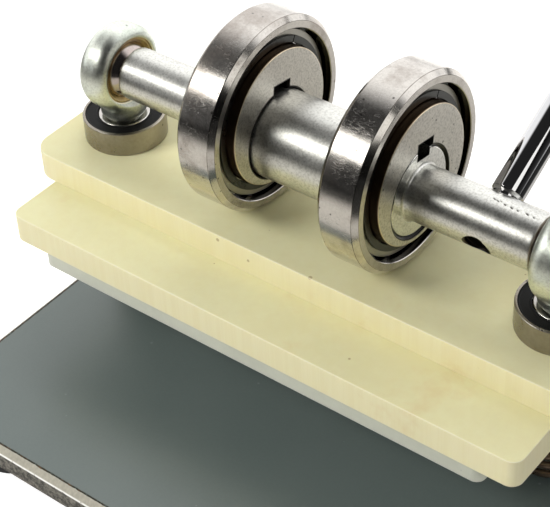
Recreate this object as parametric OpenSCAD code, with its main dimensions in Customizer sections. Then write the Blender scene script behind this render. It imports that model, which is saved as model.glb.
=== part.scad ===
// Lever press for embossing leather belts.
// A stepped shaft turns in two rod ends and carries two eccentric roller bearings.
// They roll on a nylon plate stack and push it down on two guide shanks, against springs.
// Origin: on the pad's pressing face, midway between the rod ends. X runs along the shaft,
// towards the lever, Y to the back and Z up.

/* [Base] */
// Width of the base plate along the shaft
base_w = 244; // [200:1:320]
// Depth of the base plate, front to back
base_d = 244; // [180:1:320]
// Thickness of the base plate
base_t = 11; // [8:0.5:16]
// Radius of the base plate's upright corners
base_corner_r = 5; // [4:0.5:15]
// Ground chamfer round the base plate's top
base_chamfer = 2.5; // [1:0.5:3]
// Free height between the pad and the base plate at rest
work_gap = 37.5; // [30:1:60]

/* [Feet] */
// Radius of a rubber foot where it stands
foot_r = 15; // [12:0.5:20]
// Radius of a rubber foot against the base plate
foot_top_r = 13; // [11:0.5:18]
// Height of a rubber foot
foot_h = 12; // [11:0.5:20]
// Distance from the base plate's end to a foot
foot_inset_x = 20; // [1:1:40]
// Distance from the base plate's front or back to a foot
foot_inset_y = 4; // [0:0.5:40]
// Depth of a foot screw's head in its foot
foot_head_sink = 3; // [2:0.5:4]
// Shank radius of a foot's screw
foot_screw_r = 2.5; // [2:0.25:3]
// Length of a foot's screw that is in the base plate
foot_screw_grip = 6; // [4:0.5:7]
// Head radius of a foot's screw
foot_head_r = 4.5; // [4:0.25:6]
// Head height of a foot's screw
foot_head_h = 3; // [2:0.25:4]
// Width across flats of the socket in a foot screw's head
foot_socket_w = 3; // [2:0.25:3.5]

/* [Press plates] */
// Distance from a guide shank's axis to the upper nylon plate's end
upper_end = 26; // [20:1:45]
// Depth of the upper nylon plate
upper_d = 63.5; // [50:0.5:90]
// Thickness of the upper nylon plate
upper_t = 12.5; // [10:0.5:20]
// Corner radius of the upper nylon plate
upper_corner_r = 10; // [2:1:20]
// Distance from a guide shank's axis to the lower nylon plate's end
lower_end = 16; // [16:1:45]
// Distance that the lower nylon plate and the pad sit to the right of the middle
lower_shift = 2; // [0:0.5:3]
// Depth of the lower nylon plate
lower_d = 116.5; // [90:0.5:150]
// Thickness of the lower nylon plate
lower_t = 12.5; // [10:0.5:20]
// Corner radius of the lower nylon plate
lower_corner_r = 5; // [2:1:20]
// Distance from a guide shank's axis out to the white pad's end
pad_end = 1; // [0:0.5:8]
// Distance from the lower plate's front to the pad's front
pad_inset = 1.2; // [0.5:0.1:10]
// Thickness of the white pressing pad
pad_t = 8; // [4:0.5:15]
// Corner radius of the white pressing pad
pad_corner_r = 4; // [2:1:15]
// Clearance round a guide shank in the nylon plates
shank_hole_gap = 1; // [0.6:0.1:2]

/* [Plate screws] */
// Distance between the plate screws along the shaft
screw_pitch_x = 120; // [80:5:160]
// Distance from the upper plate's front or back to a plate screw
screw_edge = 12; // [6:1:18]
// Shank radius of a plate screw
plate_screw_r = 3; // [2:0.25:4]
// Head radius of a plate screw, countersunk
plate_head_r = 6; // [5:0.25:8]
// Head height of a plate screw
plate_head_h = 3.3; // [2:0.1:5]
// Length of a plate screw that is in the upper plate
plate_screw_grip = 8; // [5:0.5:9]
// Width across flats of the socket in a plate screw's head
plate_socket_w = 4; // [3:0.25:5]

/* [Rod ends] */
// Distance from the base plate's end to a rod end's centre
rod_inset = 17; // [15:1:30]
// Radius of a rod end's head
head_r = 18.5; // [17:0.5:20]
// Width of a rod end's head
head_w = 13.5; // [12:0.5:16]
// Rounding of a rod end's head
head_round = 3.4; // [1:0.1:3.6]
// Radius of a rod end's ball
ball_r = 12.7; // [12:0.05:13]
// Width of a rod end's ball
ball_w = 19; // [17:0.5:20]
// Outer radius of the brass race in a rod end
race_r = 14; // [13.5:0.1:15]
// Width of the brass race in a rod end
race_w = 12; // [10:0.5:12]
// Radius of a rod end's neck where it meets the head
neck_r = 9; // [8:0.25:11]
// Radius of a rod end's threaded shank
shank_r = 7; // [6:0.25:7.2]
// Height of the neck's straight end above the guide bearing
neck_gap = 0.8; // [0.5:0.1:2]
// Height of a lock nut
lock_nut_h = 8; // [6:0.5:9]
// Width across flats of a lock nut
lock_nut_w = 21; // [19:1:24]
// Length of a shank's end that stands out of its lock nut
shank_tail = 1.5; // [0.5:0.25:2]

/* [Return springs] */
// Middle radius of a return spring's curls
spring_r = 12; // [10:0.25:13]
// Diameter of a return spring's wire
wire_d = 3; // [2:0.25:3.5]
// Number of open curls in a return spring
spring_open_curls = 7; // [4:1:7]
// Gap between a return spring's closed end curl and the next curl
closed_gap = 0.5; // [0.45:0.05:1]
// Gap round a return spring in the pad
spring_bite_gap = 1.5; // [0.5:0.25:3]

/* [Shaft] */
// Radius of the shaft's middle part, in the eccentric rings
shaft_mid_r = 18; // [16:0.5:19]
// Depth of the middle part's ends in the eccentric rings
shaft_mid_sink = 0.4; // [0.2:0.1:3]
// Radius of the shaft's outer parts
shaft_r = 11; // [10:0.5:12]
// Radius of the shaft's spigots in the rod ends' balls
spigot_r = 7; // [6:0.25:7.5]
// Length of a spigot's end that stands out of its ball
spigot_tail = 0.5; // [0.2:0.1:3]
// Chamfer on the shaft's shoulders
shaft_chamfer = 1; // [0.5:0.25:2]
// Size of the fillet at the root of the shaft's outer parts
root_fillet = 1.2; // [0.5:0.1:2]
// Width of a shaft key
key_w = 8; // [6:1:10]
// Height of a shaft key
key_h = 6.5; // [6:0.5:8]
// Length of a shaft key
key_l = 12; // [8:1:12]
// Depth of a shaft key in the shaft
key_seat = 4; // [3:0.25:4]
// Distance from the shaft's shoulder to a key
key_setback = 5; // [0.5:0.25:6]

/* [Eccentric bearings] */
// Distance between the two eccentric bearings' centres
bearing_pitch = 65.3; // [60:0.1:70]
// Distance that the pair of eccentric bearings sits to the right of the middle
bearing_shift = 0.35; // [0:0.05:1]
// Width of a bearing's outer ring
ring_w = 18; // [17:0.5:22]
// Wall of the outer ring
ring_wall = 5.2; // [4:0.1:8]
// Chamfer on the outer ring's rims
ring_chamfer = 2; // [0.5:0.1:2.5]
// Chamfer on the outer ring's raceway edges
race_chamfer = 0.4; // [0.2:0.1:1]
// Distance from the shaft's axis to the rings' centre
ecc = 7; // [5:0.25:7.5]
// Angle of the rings' centre above the shaft's back side, lever at rest
ecc_angle = 82; // [80:1:88]
// Least distance from the shaft's middle part to the eccentric ring's raceway
thin_wall = 1; // [0.8:0.1:3]
// Height of the eccentric ring's ribs above its raceway
rib_h = 2; // [1:0.1:2]
// Length that the eccentric ring stands out of the outer ring
rib_proud = 1.4; // [0.5:0.1:2]
// Chamfer on the rims of the eccentric ring
rib_chamfer = 0.5; // [0.2:0.1:0.8]
// Chamfer on the mouths of the eccentric ring's bore
bore_chamfer = 0.8; // [0.2:0.1:1]
// Radius of a roller
roller_r = 4.3; // [4:0.05:4.6]
// Number of rollers in a bearing
roller_count = 16; // [12:1:17]
// Length of a roller
roller_l = 8.4; // [8:0.1:8.6]
// Distance from the eccentric ring's ribs to the roller cage
cage_in_gap = 0.5; // [0.3:0.1:1]
// Distance from the roller cage to the outer ring's raceway
cage_out_gap = 1; // [0.5:0.1:2]
// Distance from the outer ring's side to the roller cage
cage_depth = 3.4; // [3.2:0.1:3.6]
// Thickness of a split ring on the cage's side
split_ring_t = 1; // [0.6:0.1:1.4]
// Distance from a split ring's rim in to the cage's rim
split_ring_inset = 2.5; // [1:0.1:3]
// Width of the slit where a split ring's ends meet
slit_w = 0.4; // [0.2:0.1:1]
// Angle of the slits, from straight down towards the back
slit_angle = 150; // [0:1:359]

/* [Guide bearings] */
// Outer radius of a guide bearing
guide_r = 17.5; // [17:0.25:19]
// Width of a guide bearing
guide_w = 11; // [10:0.5:12]
// Clearance round a guide shank in a guide bearing
guide_gap = 0.5; // [0.3:0.1:1]
// Outer radius of a guide bearing's inner ring
guide_inner_r = 10.1; // [10:0.1:10.5]
// Inner radius of a guide bearing's outer ring
guide_outer_bore_r = 15.1; // [14.8:0.1:15.4]
// Radius of a guide bearing's balls
guide_ball_r = 3; // [2.8:0.1:3.2]
// Number of balls in a guide bearing
guide_ball_count = 8; // [6:1:9]
// Thickness of a guide bearing's seals
seal_t = 0.8; // [0.5:0.1:1]
// Depth of a guide bearing's seals below its sides
seal_depth = 0.4; // [0.2:0.1:0.8]
// Edge rounding of a guide bearing's rings
guide_round = 0.8; // [0.3:0.1:1]

/* [Lever] */
// Distance from the shaft's right shoulder to the lever's axis
lever_inset = 21.9; // [15:0.1:35]
// Angle of the lever above the back side, at rest
lever_angle = 28; // [10:1:60]
// Radius of the lever's bar
bar_r = 6.35; // [6.3:0.05:8]
// Distance from the shaft's axis to the bar's far end
lever_l = 290; // [220:5:360]
// Thread radius of the bar's stud in the shaft
stud_r = 5.5; // [4.5:0.1:5.5]
// Chamfer on the open mouth of the stud's hole
hole_mouth = 0.6; // [0.2:0.1:1.2]
// Length of the bar's stud from the bar's shoulder
stud_l = 16; // [12:0.5:18]
// Depth of the chamfer at the bar's foot
bar_chamfer = 0.8; // [0.3:0.1:0.8]
// Length of the chamfer at the bar's foot
bar_chamfer_l = 1.2; // [0.5:0.1:3]
// Chamfer at the stud's tip
stud_chamfer = 1; // [0.3:0.1:2]
// Radius of the lever's grip
grip_r = 12.5; // [10:0.5:18]
// Length of the lever's grip
grip_l = 105; // [80:5:130]
// Length of the grip past the bar's end
grip_cap = 17; // [15:1:25]
// Height of the grip's collar above the grip
grip_collar_h = 2; // [1:0.5:4]
// Length of the grip's collar
grip_collar_l = 4; // [2:0.5:8]
// Number of grooves round the grip
groove_count = 8; // [3:1:12]
// Radius of the grip's grooves in section
groove_r = 1.5; // [1:0.1:2]

/* [Fits] */
// Radial clearance in a running fit, as at rollers and balls
run_gap = 0.1; // [0.05:0.01:0.1]
// Clearance of a fixed fit, as at threads, keys and rings on the shaft
fixed_gap = 0.03; // [0.02:0.01:0.05]
// Distance between surfaces of pieces that move past each other
move_gap = 0.3; // [0.25:0.05:0.5]

/* [Hidden] */
$fn = 96;

// Overrun of a cut past the surface that it opens
over = 1;
// Sides of a hexagon
hex_sides = 6;
// Corner radius of a hexagon as a share of its half-width across flats
hex_corner_share = 1 / cos(30);
// Depth of a screw's socket as a share of its head's height
socket_share = 2 / 3;

// Places along the shaft
rod_x = base_w / 2 - rod_inset;
bearing_x = bearing_pitch / 2;
rib_x = ring_w / 2 + rib_proud;
mid_x = bearing_x + bearing_shift + rib_x - shaft_mid_sink;
shoulder_x = rod_x - ball_w / 2;
spigot_end_x = rod_x + ball_w / 2 + spigot_tail;
key_end_x = mid_x - key_setback;
lever_x = shoulder_x - lever_inset;

// Eccentric bearing, from the shaft outwards
inner_race_r = shaft_mid_r + ecc + thin_wall;
rib_r = inner_race_r + rib_h;
roller_ring_r = inner_race_r + run_gap + roller_r;
ring_bore_r = roller_ring_r + roller_r + run_gap;
ring_r = ring_bore_r + ring_wall;
cage_in_r = rib_r + cage_in_gap;
cage_out_r = ring_bore_r - cage_out_gap;
cage_x = ring_w / 2 - cage_depth;
split_ring_r = cage_out_r - split_ring_inset;
rib_in_x = roller_l / 2 + run_gap;
hub_groove_r = shaft_mid_r - key_seat + key_h + move_gap;

// Heights, from the pad's pressing face up to the shaft
lower_z = pad_t;
upper_z = lower_z + lower_t;
stack_z = upper_z + upper_t;
guide_top_z = stack_z + guide_w;
ecc_y = ecc * cos(ecc_angle);
ecc_z = ecc * sin(ecc_angle);
shaft_z = stack_z + move_gap + ring_r - ecc_z;
neck_z = guide_top_z + neck_gap;

// Heights, from the pad's pressing face down to the stand
base_top_z = -work_gap;
base_z = base_top_z - base_t;
stand_z = base_z - foot_h;
shank_end_z = base_z - lock_nut_h - shank_tail;
foot_head_z = stand_z + foot_head_sink;

// Places of the feet and the plate screws
foot_x = base_w / 2 - foot_inset_x - foot_r;
foot_y = base_d / 2 - foot_inset_y - foot_r;
screw_x = screw_pitch_x / 2;
screw_y = upper_d / 2 - screw_edge;

// Guide bearing
guide_mid_z = stack_z + guide_w / 2;
guide_bore_r = shank_r + guide_gap;
guide_inner_h = guide_w - 2 * move_gap;
ball_ring_r = (guide_inner_r + guide_outer_bore_r) / 2;
ball_seat_r = guide_ball_r + run_gap;
seal_z = guide_w / 2 - seal_depth - seal_t;
seal_in_r = guide_inner_r + move_gap;
// Wall of the ball cage
guide_cage_t = 1.6;
guide_cage_h = 2 * (seal_z - move_gap);

// Return spring: one closed curl at each end, and open curls between
wire_r = wire_d / 2;
wire_sides = 6;
curl_rings = 8;
spring_curls = spring_open_curls + 2;
spring_low = base_top_z + wire_r + fixed_gap;
spring_high = lower_z - wire_r - move_gap;
closed_rise = wire_d + closed_gap;
open_rise = (spring_high - spring_low - 2 * closed_rise) / spring_open_curls;
spring_out_r = spring_r + wire_r;

// Lever
bar_foot_r = shaft_r + fixed_gap;
bar_end = lever_l;
grip_start = bar_end + grip_cap - grip_l;
grip_straight = grip_l - grip_r - grip_collar_l;
groove_pitch = grip_straight / (groove_count + 1);

// Height of the spring's middle line after t curls
function spring_height(t) =
    spring_low + closed_rise * min(t, 1) + open_rise * max(0, min(t - 1, spring_open_curls))
    + closed_rise * max(0, t - 1 - spring_open_curls);
// A point of the spring's middle line after t curls
function spring_point(t) =
    [spring_r * cos(360 * t), spring_r * sin(360 * t), spring_height(t)];
// Direction along the spring's circle after t curls
function along(t) = [-sin(360 * t), cos(360 * t), 0];
// Direction away from the spring's axis after t curls
function outward(t) = [cos(360 * t), sin(360 * t), 0];
// One ring of the wire's surface round a point
function wire_ring(p, t) = [
    for (i = [0 : wire_sides - 1])
        let (a = 360 * (i + 0.5) / wire_sides)
        p + wire_r * (cos(a) * outward(t) + sin(a) * [0, 0, 1])
];
// Every ring of the wire, with a straight run of one wire diameter at each end
ring_count = spring_curls * curl_rings + 3;
wire_points = [
    for (p = wire_ring(spring_point(0) - wire_d * along(0), 0)) p,
    for (k = [0 : spring_curls * curl_rings])
        for (p = wire_ring(spring_point(k / curl_rings), k / curl_rings)) p,
    for (p = wire_ring(spring_point(spring_curls) + wire_d * along(spring_curls), spring_curls)) p
];
wire_faces = [
    for (k = [0 : ring_count - 2]) for (i = [0 : wire_sides - 1])
        let (a = k * wire_sides + i, b = k * wire_sides + (i + 1) % wire_sides)
        each [[a, b, b + wire_sides], [a, b + wire_sides, a + wire_sides]],
    for (i = [1 : wire_sides - 2]) [0, i + 1, i],
    for (i = [1 : wire_sides - 2])
        let (first = (ring_count - 1) * wire_sides)
        [first, first + i, first + i + 1]
];
// Least distance between the wire's surfaces in curls that lie on each other
function spring_gap() = min([
    for (k = [0 : (spring_curls - 1) * curl_rings])
        for (j = [-2 : 2])
            let (t = k / curl_rings, u = min(spring_curls, t + 1 + j / curl_rings))
            if (u - t > 0.6) norm(spring_point(u) - spring_point(t)) - wire_d
]);
echo(least_gap_between_spring_curls = spring_gap());

// A profile's half above the middle, with its mirror image below it
function mirrored(half) =
    concat(half, [for (i = [len(half) - 1 : -1 : 0]) [half[i][0], -half[i][1]]]);

// A rectangle with round corners, centred
module round_rect(w, d, r) {
    square([w - 2 * r, d], center = true);
    square([w, d - 2 * r], center = true);
    for (sx = [-1, 1]) for (sy = [-1, 1])
        translate([sx * (w / 2 - r), sy * (d / 2 - r)]) circle(r);
}

// Half the section of a ring with chamfered rims, outside and in its bore
module ring_section(r_in, r_out, w, c_out, c_in) {
    polygon([[r_in + c_in, -w / 2], [r_out - c_out, -w / 2], [r_out, -w / 2 + c_out],
        [r_out, w / 2 - c_out], [r_out - c_out, w / 2], [r_in + c_in, w / 2],
        [r_in, w / 2 - c_in], [r_in, -w / 2 + c_in]]);
}

// Turns an upright body so that its axis lies along the shaft
module along_x() {
    rotate([0, 90, 0]) children();
}

// Copies at the four feet
module at_feet() {
    for (sx = [-1, 1]) for (sy = [-1, 1])
        translate([sx * foot_x, sy * foot_y, 0]) children();
}

// Copies at the four plate screws
module at_plate_screws() {
    for (sx = [-1, 1]) for (sy = [-1, 1])
        translate([sx * screw_x, sy * screw_y, 0]) children();
}

// A hexagonal bar, standing
module hexagon_bar(w, h) {
    cylinder(h = h, r = w / 2 * hex_corner_share, $fn = hex_sides);
}

// A plate with round upright corners and a chamfer round its top
module chamfered_plate(w, d, t, r, c) {
    module bar(len, width) {
        rotate([90, 0, 90]) translate([0, 0, -len / 2]) linear_extrude(len)
            polygon([[-width / 2, 0], [width / 2, 0], [width / 2, t - c],
                [width / 2 - c, t], [-width / 2 + c, t], [-width / 2, t - c]]);
    }
    bar(w - 2 * r, d);
    rotate([0, 0, 90]) bar(d - 2 * r, w);
    for (sx = [-1, 1]) for (sy = [-1, 1])
        translate([sx * (w / 2 - r), sy * (d / 2 - r), 0]) {
            cylinder(h = t - c, r = r);
            translate([0, 0, t - c]) cylinder(h = c, r1 = r, r2 = r - c);
        }
}

module base_plate() {
    color([0.43, 0.48, 0.47]) difference() {
        translate([0, 0, base_z])
            chamfered_plate(base_w, base_d, base_t, base_corner_r, base_chamfer);
        for (s = [-1, 1]) translate([s * rod_x, 0, base_z - over])
            cylinder(h = base_t + 2 * over, r = shank_r + fixed_gap);
        at_feet() translate([0, 0, base_z - over])
            cylinder(h = foot_screw_grip + fixed_gap + over, r = foot_screw_r + fixed_gap);
    }
}

module rubber_feet() {
    color([0.06, 0.06, 0.06]) at_feet() difference() {
        translate([0, 0, stand_z]) cylinder(h = foot_h, r1 = foot_r, r2 = foot_top_r);
        translate([0, 0, stand_z - over])
            cylinder(h = foot_head_sink + foot_head_h + over, r = foot_head_r + fixed_gap);
        translate([0, 0, stand_z]) cylinder(h = foot_h + over, r = foot_screw_r + fixed_gap);
    }
}

module foot_screws() {
    color([0.72, 0.73, 0.7]) at_feet() translate([0, 0, foot_head_z]) difference() {
        union() {
            cylinder(h = foot_head_h, r = foot_head_r);
            cylinder(h = base_z + foot_screw_grip - foot_head_z, r = foot_screw_r);
        }
        translate([0, 0, -over]) hexagon_bar(foot_socket_w, foot_head_h * socket_share + over);
    }
}

// A rod end with its head round the shaft's axis and its shank down through the base
module rod_end(s) {
    neck_in_z = shaft_z - race_r;
    color([0.78, 0.8, 0.76]) translate([s * rod_x, 0, 0]) difference() {
        union() {
            translate([0, 0, shaft_z]) along_x() rotate_extrude() {
                translate([0, -head_w / 2]) square([head_r - head_round, head_w]);
                translate([0, -head_w / 2 + head_round])
                    square([head_r, head_w - 2 * head_round]);
                for (e = [-1, 1])
                    translate([head_r - head_round, e * (head_w / 2 - head_round)])
                        circle(head_round);
            }
            rotate_extrude() polygon([[0, shank_end_z], [shank_r, shank_end_z],
                [shank_r, neck_z], [neck_r, shaft_z - head_r + head_round / 2],
                [head_w / 2, neck_in_z], [0, neck_in_z]]);
        }
        translate([0, 0, shaft_z]) along_x()
            cylinder(h = head_w + 2 * over, r = race_r + fixed_gap, center = true);
    }
}

module rod_end_left() {
    rod_end(-1);
}

module rod_end_right() {
    rod_end(1);
}

// The brass race that holds a rod end's ball
module race(s) {
    color([0.78, 0.66, 0.36]) translate([s * rod_x, 0, shaft_z]) difference() {
        along_x() cylinder(h = race_w, r = race_r, center = true);
        sphere(ball_r + run_gap);
    }
}

module race_left() {
    race(-1);
}

module race_right() {
    race(1);
}

module lock_nut(s) {
    color([0.72, 0.73, 0.7]) translate([s * rod_x, 0, base_z - lock_nut_h]) difference() {
        hexagon_bar(lock_nut_w, lock_nut_h);
        translate([0, 0, -over]) cylinder(h = lock_nut_h + 2 * over, r = shank_r + fixed_gap);
    }
}

module lock_nut_left() {
    lock_nut(-1);
}

module lock_nut_right() {
    lock_nut(1);
}

module return_spring(s) {
    color([0.3, 0.22, 0.17]) translate([s * rod_x, 0, 0])
        polyhedron(points = wire_points, faces = wire_faces);
}

module spring_left() {
    return_spring(-1);
}

module spring_right() {
    return_spring(1);
}

// A bar with its long side along the shaft, at the rings' thick side, from r0 out to r1
module key_bar(s, x0, x1, r0, r1, w) {
    translate([0, 0, shaft_z]) rotate([ecc_angle - 90, 0, 0])
        translate([min(s * x0, s * x1), -w / 2, r0]) cube([x1 - x0, w, r1 - r0]);
}

module cam_shaft() {
    hole_r = stud_r + fixed_gap;
    half = [[shaft_mid_r, mid_x - shaft_chamfer], [shaft_mid_r - shaft_chamfer, mid_x],
        [shaft_r + root_fillet, mid_x], [shaft_r, mid_x + root_fillet],
        [shaft_r, shoulder_x - shaft_chamfer], [shaft_r - shaft_chamfer, shoulder_x],
        [spigot_r, shoulder_x], [spigot_r, spigot_end_x - shaft_chamfer],
        [spigot_r - shaft_chamfer, spigot_end_x], [0, spigot_end_x]];
    color([0.74, 0.74, 0.72]) difference() {
        translate([0, 0, shaft_z]) along_x() rotate_extrude() polygon(mirrored(half));
        for (s = [-1, 1])
            key_bar(s, key_end_x - key_l - fixed_gap, mid_x + over,
                shaft_mid_r - key_seat - fixed_gap, shaft_mid_r + over, key_w + 2 * fixed_gap);
        at_lever() {
            cylinder(h = 2 * (shaft_r + over), r = hole_r, center = true);
            translate([0, 0, -shaft_r - over])
                cylinder(h = over + hole_mouth, r1 = hole_r + over + hole_mouth, r2 = hole_r);
        }
    }
}

module rod_ball(s) {
    color([0.32, 0.3, 0.28]) translate([s * rod_x, 0, shaft_z]) difference() {
        intersection() {
            sphere(ball_r);
            along_x() cylinder(h = ball_w, r = ball_r + over, center = true);
        }
        along_x() cylinder(h = ball_w + 2 * over, r = spigot_r + fixed_gap, center = true);
    }
}

module rod_ball_left() {
    rod_ball(-1);
}

module rod_ball_right() {
    rod_ball(1);
}

module shaft_key(s) {
    color([0.5, 0.5, 0.5])
        key_bar(s, key_end_x - key_l, key_end_x,
            shaft_mid_r - key_seat, shaft_mid_r - key_seat + key_h, key_w);
}

module shaft_key_left() {
    shaft_key(-1);
}

module shaft_key_right() {
    shaft_key(1);
}

// Places a bearing piece round the eccentric rings' centre
module at_ring(s) {
    translate([s * bearing_x + bearing_shift, ecc_y, shaft_z + ecc_z]) along_x() children();
}

// The inner ring of an eccentric bearing, bored off centre for the shaft
module eccentric_ring(s) {
    hole_r = shaft_mid_r + fixed_gap;
    half = [[inner_race_r, rib_in_x], [rib_r, rib_in_x], [rib_r, rib_x - rib_chamfer],
        [rib_r - rib_chamfer, rib_x], [0, rib_x]];
    color([0.62, 0.6, 0.57]) difference() {
        at_ring(s) rotate_extrude() polygon(mirrored(half));
        translate([s * bearing_x + bearing_shift, 0, shaft_z]) along_x() {
            cylinder(h = 2 * (rib_x + over), r = hole_r, center = true);
            for (e = [-1, 1]) scale([1, 1, e]) translate([0, 0, rib_x - bore_chamfer])
                cylinder(h = bore_chamfer + over, r1 = hole_r, r2 = hole_r + bore_chamfer + over);
        }
        key_bar(s, bearing_x - rib_x - over, bearing_x + rib_x + over, 0,
            hub_groove_r, key_w + 2 * fixed_gap);
    }
}

module eccentric_ring_left() {
    eccentric_ring(-1);
}

module eccentric_ring_right() {
    eccentric_ring(1);
}

module outer_ring(s) {
    color([0.66, 0.62, 0.58]) at_ring(s) rotate_extrude()
        ring_section(ring_bore_r, ring_r, ring_w, ring_chamfer, race_chamfer);
}

module outer_ring_left() {
    outer_ring(-1);
}

module outer_ring_right() {
    outer_ring(1);
}

// Copies round a ring's axis
module round_the_ring(n) {
    for (i = [0 : n - 1]) rotate([0, 0, 360 * i / n]) children();
}

module roller_cage(s) {
    color([0.55, 0.54, 0.52]) at_ring(s) difference() {
        rotate_extrude() translate([cage_in_r, -cage_x])
            square([cage_out_r - cage_in_r, 2 * cage_x]);
        round_the_ring(roller_count) translate([roller_ring_r, 0, 0])
            cylinder(h = roller_l + 2 * run_gap, r = roller_r + run_gap, center = true);
    }
}

module roller_cage_left() {
    roller_cage(-1);
}

module roller_cage_right() {
    roller_cage(1);
}

// The two thin split rings on the sides of a roller cage
module split_rings(s) {
    color([0.13, 0.14, 0.16]) at_ring(s) for (e = [-1, 1]) scale([1, 1, e])
        translate([0, 0, cage_x]) difference() {
            cylinder(h = split_ring_t, r = split_ring_r);
            translate([0, 0, -over]) cylinder(h = split_ring_t + 2 * over, r = cage_in_r);
            rotate([0, 0, slit_angle]) translate([0, -slit_w / 2, -over])
                cube([split_ring_r + over, slit_w, split_ring_t + 2 * over]);
        }
}

module split_rings_left() {
    split_rings(-1);
}

module split_rings_right() {
    split_rings(1);
}

module rollers(s) {
    color([0.7, 0.7, 0.7]) at_ring(s) round_the_ring(roller_count)
        translate([roller_ring_r, 0, 0]) cylinder(h = roller_l, r = roller_r, center = true);
}

module rollers_left() {
    rollers(-1);
}

module rollers_right() {
    rollers(1);
}

// The holes of the two guide shanks in a press plate
module shank_holes(z, t) {
    for (s = [-1, 1]) translate([s * rod_x, 0, z - over])
        cylinder(h = t + 2 * over, r = shank_r + shank_hole_gap);
}

module upper_plate() {
    color([0.96, 0.92, 0.74]) difference() {
        translate([0, 0, upper_z]) linear_extrude(upper_t)
            round_rect(2 * (rod_x + upper_end), upper_d, upper_corner_r);
        shank_holes(upper_z, upper_t);
        at_plate_screws() translate([0, 0, upper_z - over])
            cylinder(h = plate_screw_grip + fixed_gap + over, r = plate_screw_r + fixed_gap);
    }
}

module lower_plate() {
    color([0.94, 0.9, 0.72]) difference() {
        translate([lower_shift, 0, lower_z]) linear_extrude(lower_t)
            round_rect(2 * (rod_x + lower_end), lower_d, lower_corner_r);
        shank_holes(lower_z, lower_t);
        at_plate_screws() {
            translate([0, 0, lower_z - over])
                cylinder(h = lower_t + 2 * over, r = plate_screw_r + fixed_gap);
            translate([0, 0, lower_z]) cylinder(h = plate_head_h,
                r1 = plate_head_r + fixed_gap, r2 = plate_screw_r + fixed_gap);
        }
    }
}

module press_pad() {
    color([0.85, 0.86, 0.86]) difference() {
        translate([lower_shift, 0, 0]) linear_extrude(pad_t)
            round_rect(2 * (rod_x + pad_end), lower_d - 2 * pad_inset, pad_corner_r);
        for (s = [-1, 1]) translate([s * rod_x, 0, -over])
            cylinder(h = pad_t + 2 * over, r = spring_out_r + spring_bite_gap);
    }
}

module plate_screws() {
    color([0.6, 0.6, 0.6]) at_plate_screws() translate([0, 0, lower_z]) difference() {
        union() {
            cylinder(h = plate_head_h, r1 = plate_head_r, r2 = plate_screw_r);
            cylinder(h = lower_t + plate_screw_grip, r = plate_screw_r);
        }
        translate([0, 0, -over]) hexagon_bar(plate_socket_w, plate_head_h * socket_share + over);
    }
}

// Places a guide bearing's piece on the upper plate, round a shank
module at_guide(s) {
    translate([s * rod_x, 0, guide_mid_z]) children();
}

// Half the section of a guide bearing's ring, with rounded corners
module guide_section(r_in, r_out, h) {
    translate([r_in, -h / 2 + guide_round]) square([r_out - r_in, h - 2 * guide_round]);
    translate([r_in + guide_round, -h / 2]) square([r_out - r_in - 2 * guide_round, h]);
    for (r = [r_in + guide_round, r_out - guide_round]) for (e = [-1, 1])
        translate([r, e * (h / 2 - guide_round)]) circle(guide_round);
}

module guide_outer_ring(s) {
    color([0.64, 0.6, 0.55]) at_guide(s) rotate_extrude() difference() {
        guide_section(guide_outer_bore_r, guide_r, guide_w);
        translate([ball_ring_r, 0]) circle(ball_seat_r);
    }
}

module guide_outer_ring_left() {
    guide_outer_ring(-1);
}

module guide_outer_ring_right() {
    guide_outer_ring(1);
}

module guide_inner_ring(s) {
    color([0.75, 0.74, 0.72]) at_guide(s) rotate_extrude() difference() {
        guide_section(guide_bore_r, guide_inner_r, guide_inner_h);
        translate([ball_ring_r, 0]) circle(ball_seat_r);
    }
}

module guide_inner_ring_left() {
    guide_inner_ring(-1);
}

module guide_inner_ring_right() {
    guide_inner_ring(1);
}

module guide_seals(s) {
    color([0.05, 0.05, 0.05]) at_guide(s) for (e = [-1, 1]) scale([1, 1, e])
        translate([0, 0, seal_z]) difference() {
            cylinder(h = seal_t, r = guide_outer_bore_r - fixed_gap);
            translate([0, 0, -over]) cylinder(h = seal_t + 2 * over, r = seal_in_r);
        }
}

module guide_seals_left() {
    guide_seals(-1);
}

module guide_seals_right() {
    guide_seals(1);
}

module guide_balls(s) {
    color([0.75, 0.75, 0.75]) at_guide(s) round_the_ring(guide_ball_count)
        translate([ball_ring_r, 0, 0]) sphere(guide_ball_r);
}

module guide_balls_left() {
    guide_balls(-1);
}

module guide_balls_right() {
    guide_balls(1);
}

module guide_cage(s) {
    color([0.6, 0.5, 0.3]) at_guide(s) difference() {
        rotate_extrude() translate([ball_ring_r - guide_cage_t / 2, -guide_cage_h / 2])
            square([guide_cage_t, guide_cage_h]);
        round_the_ring(guide_ball_count) translate([ball_ring_r, 0, 0]) along_x()
            cylinder(h = guide_cage_t + 2 * over, r = ball_seat_r, center = true);
    }
}

module guide_cage_left() {
    guide_cage(-1);
}

module guide_cage_right() {
    guide_cage(1);
}

// Places a lever piece: its own Z runs from the shaft's axis out along the bar
module at_lever() {
    translate([lever_x, 0, shaft_z]) rotate([lever_angle - 90, 0, 0]) children();
}

module lever_bar() {
    color([0.85, 0.85, 0.86]) at_lever() rotate_extrude()
        polygon([[0, bar_foot_r - stud_l], [stud_r - stud_chamfer, bar_foot_r - stud_l],
            [stud_r, bar_foot_r - stud_l + stud_chamfer], [stud_r, bar_foot_r],
            [bar_r - bar_chamfer, bar_foot_r], [bar_r, bar_foot_r + bar_chamfer_l],
            [bar_r, bar_end], [0, bar_end]]);
}

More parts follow.
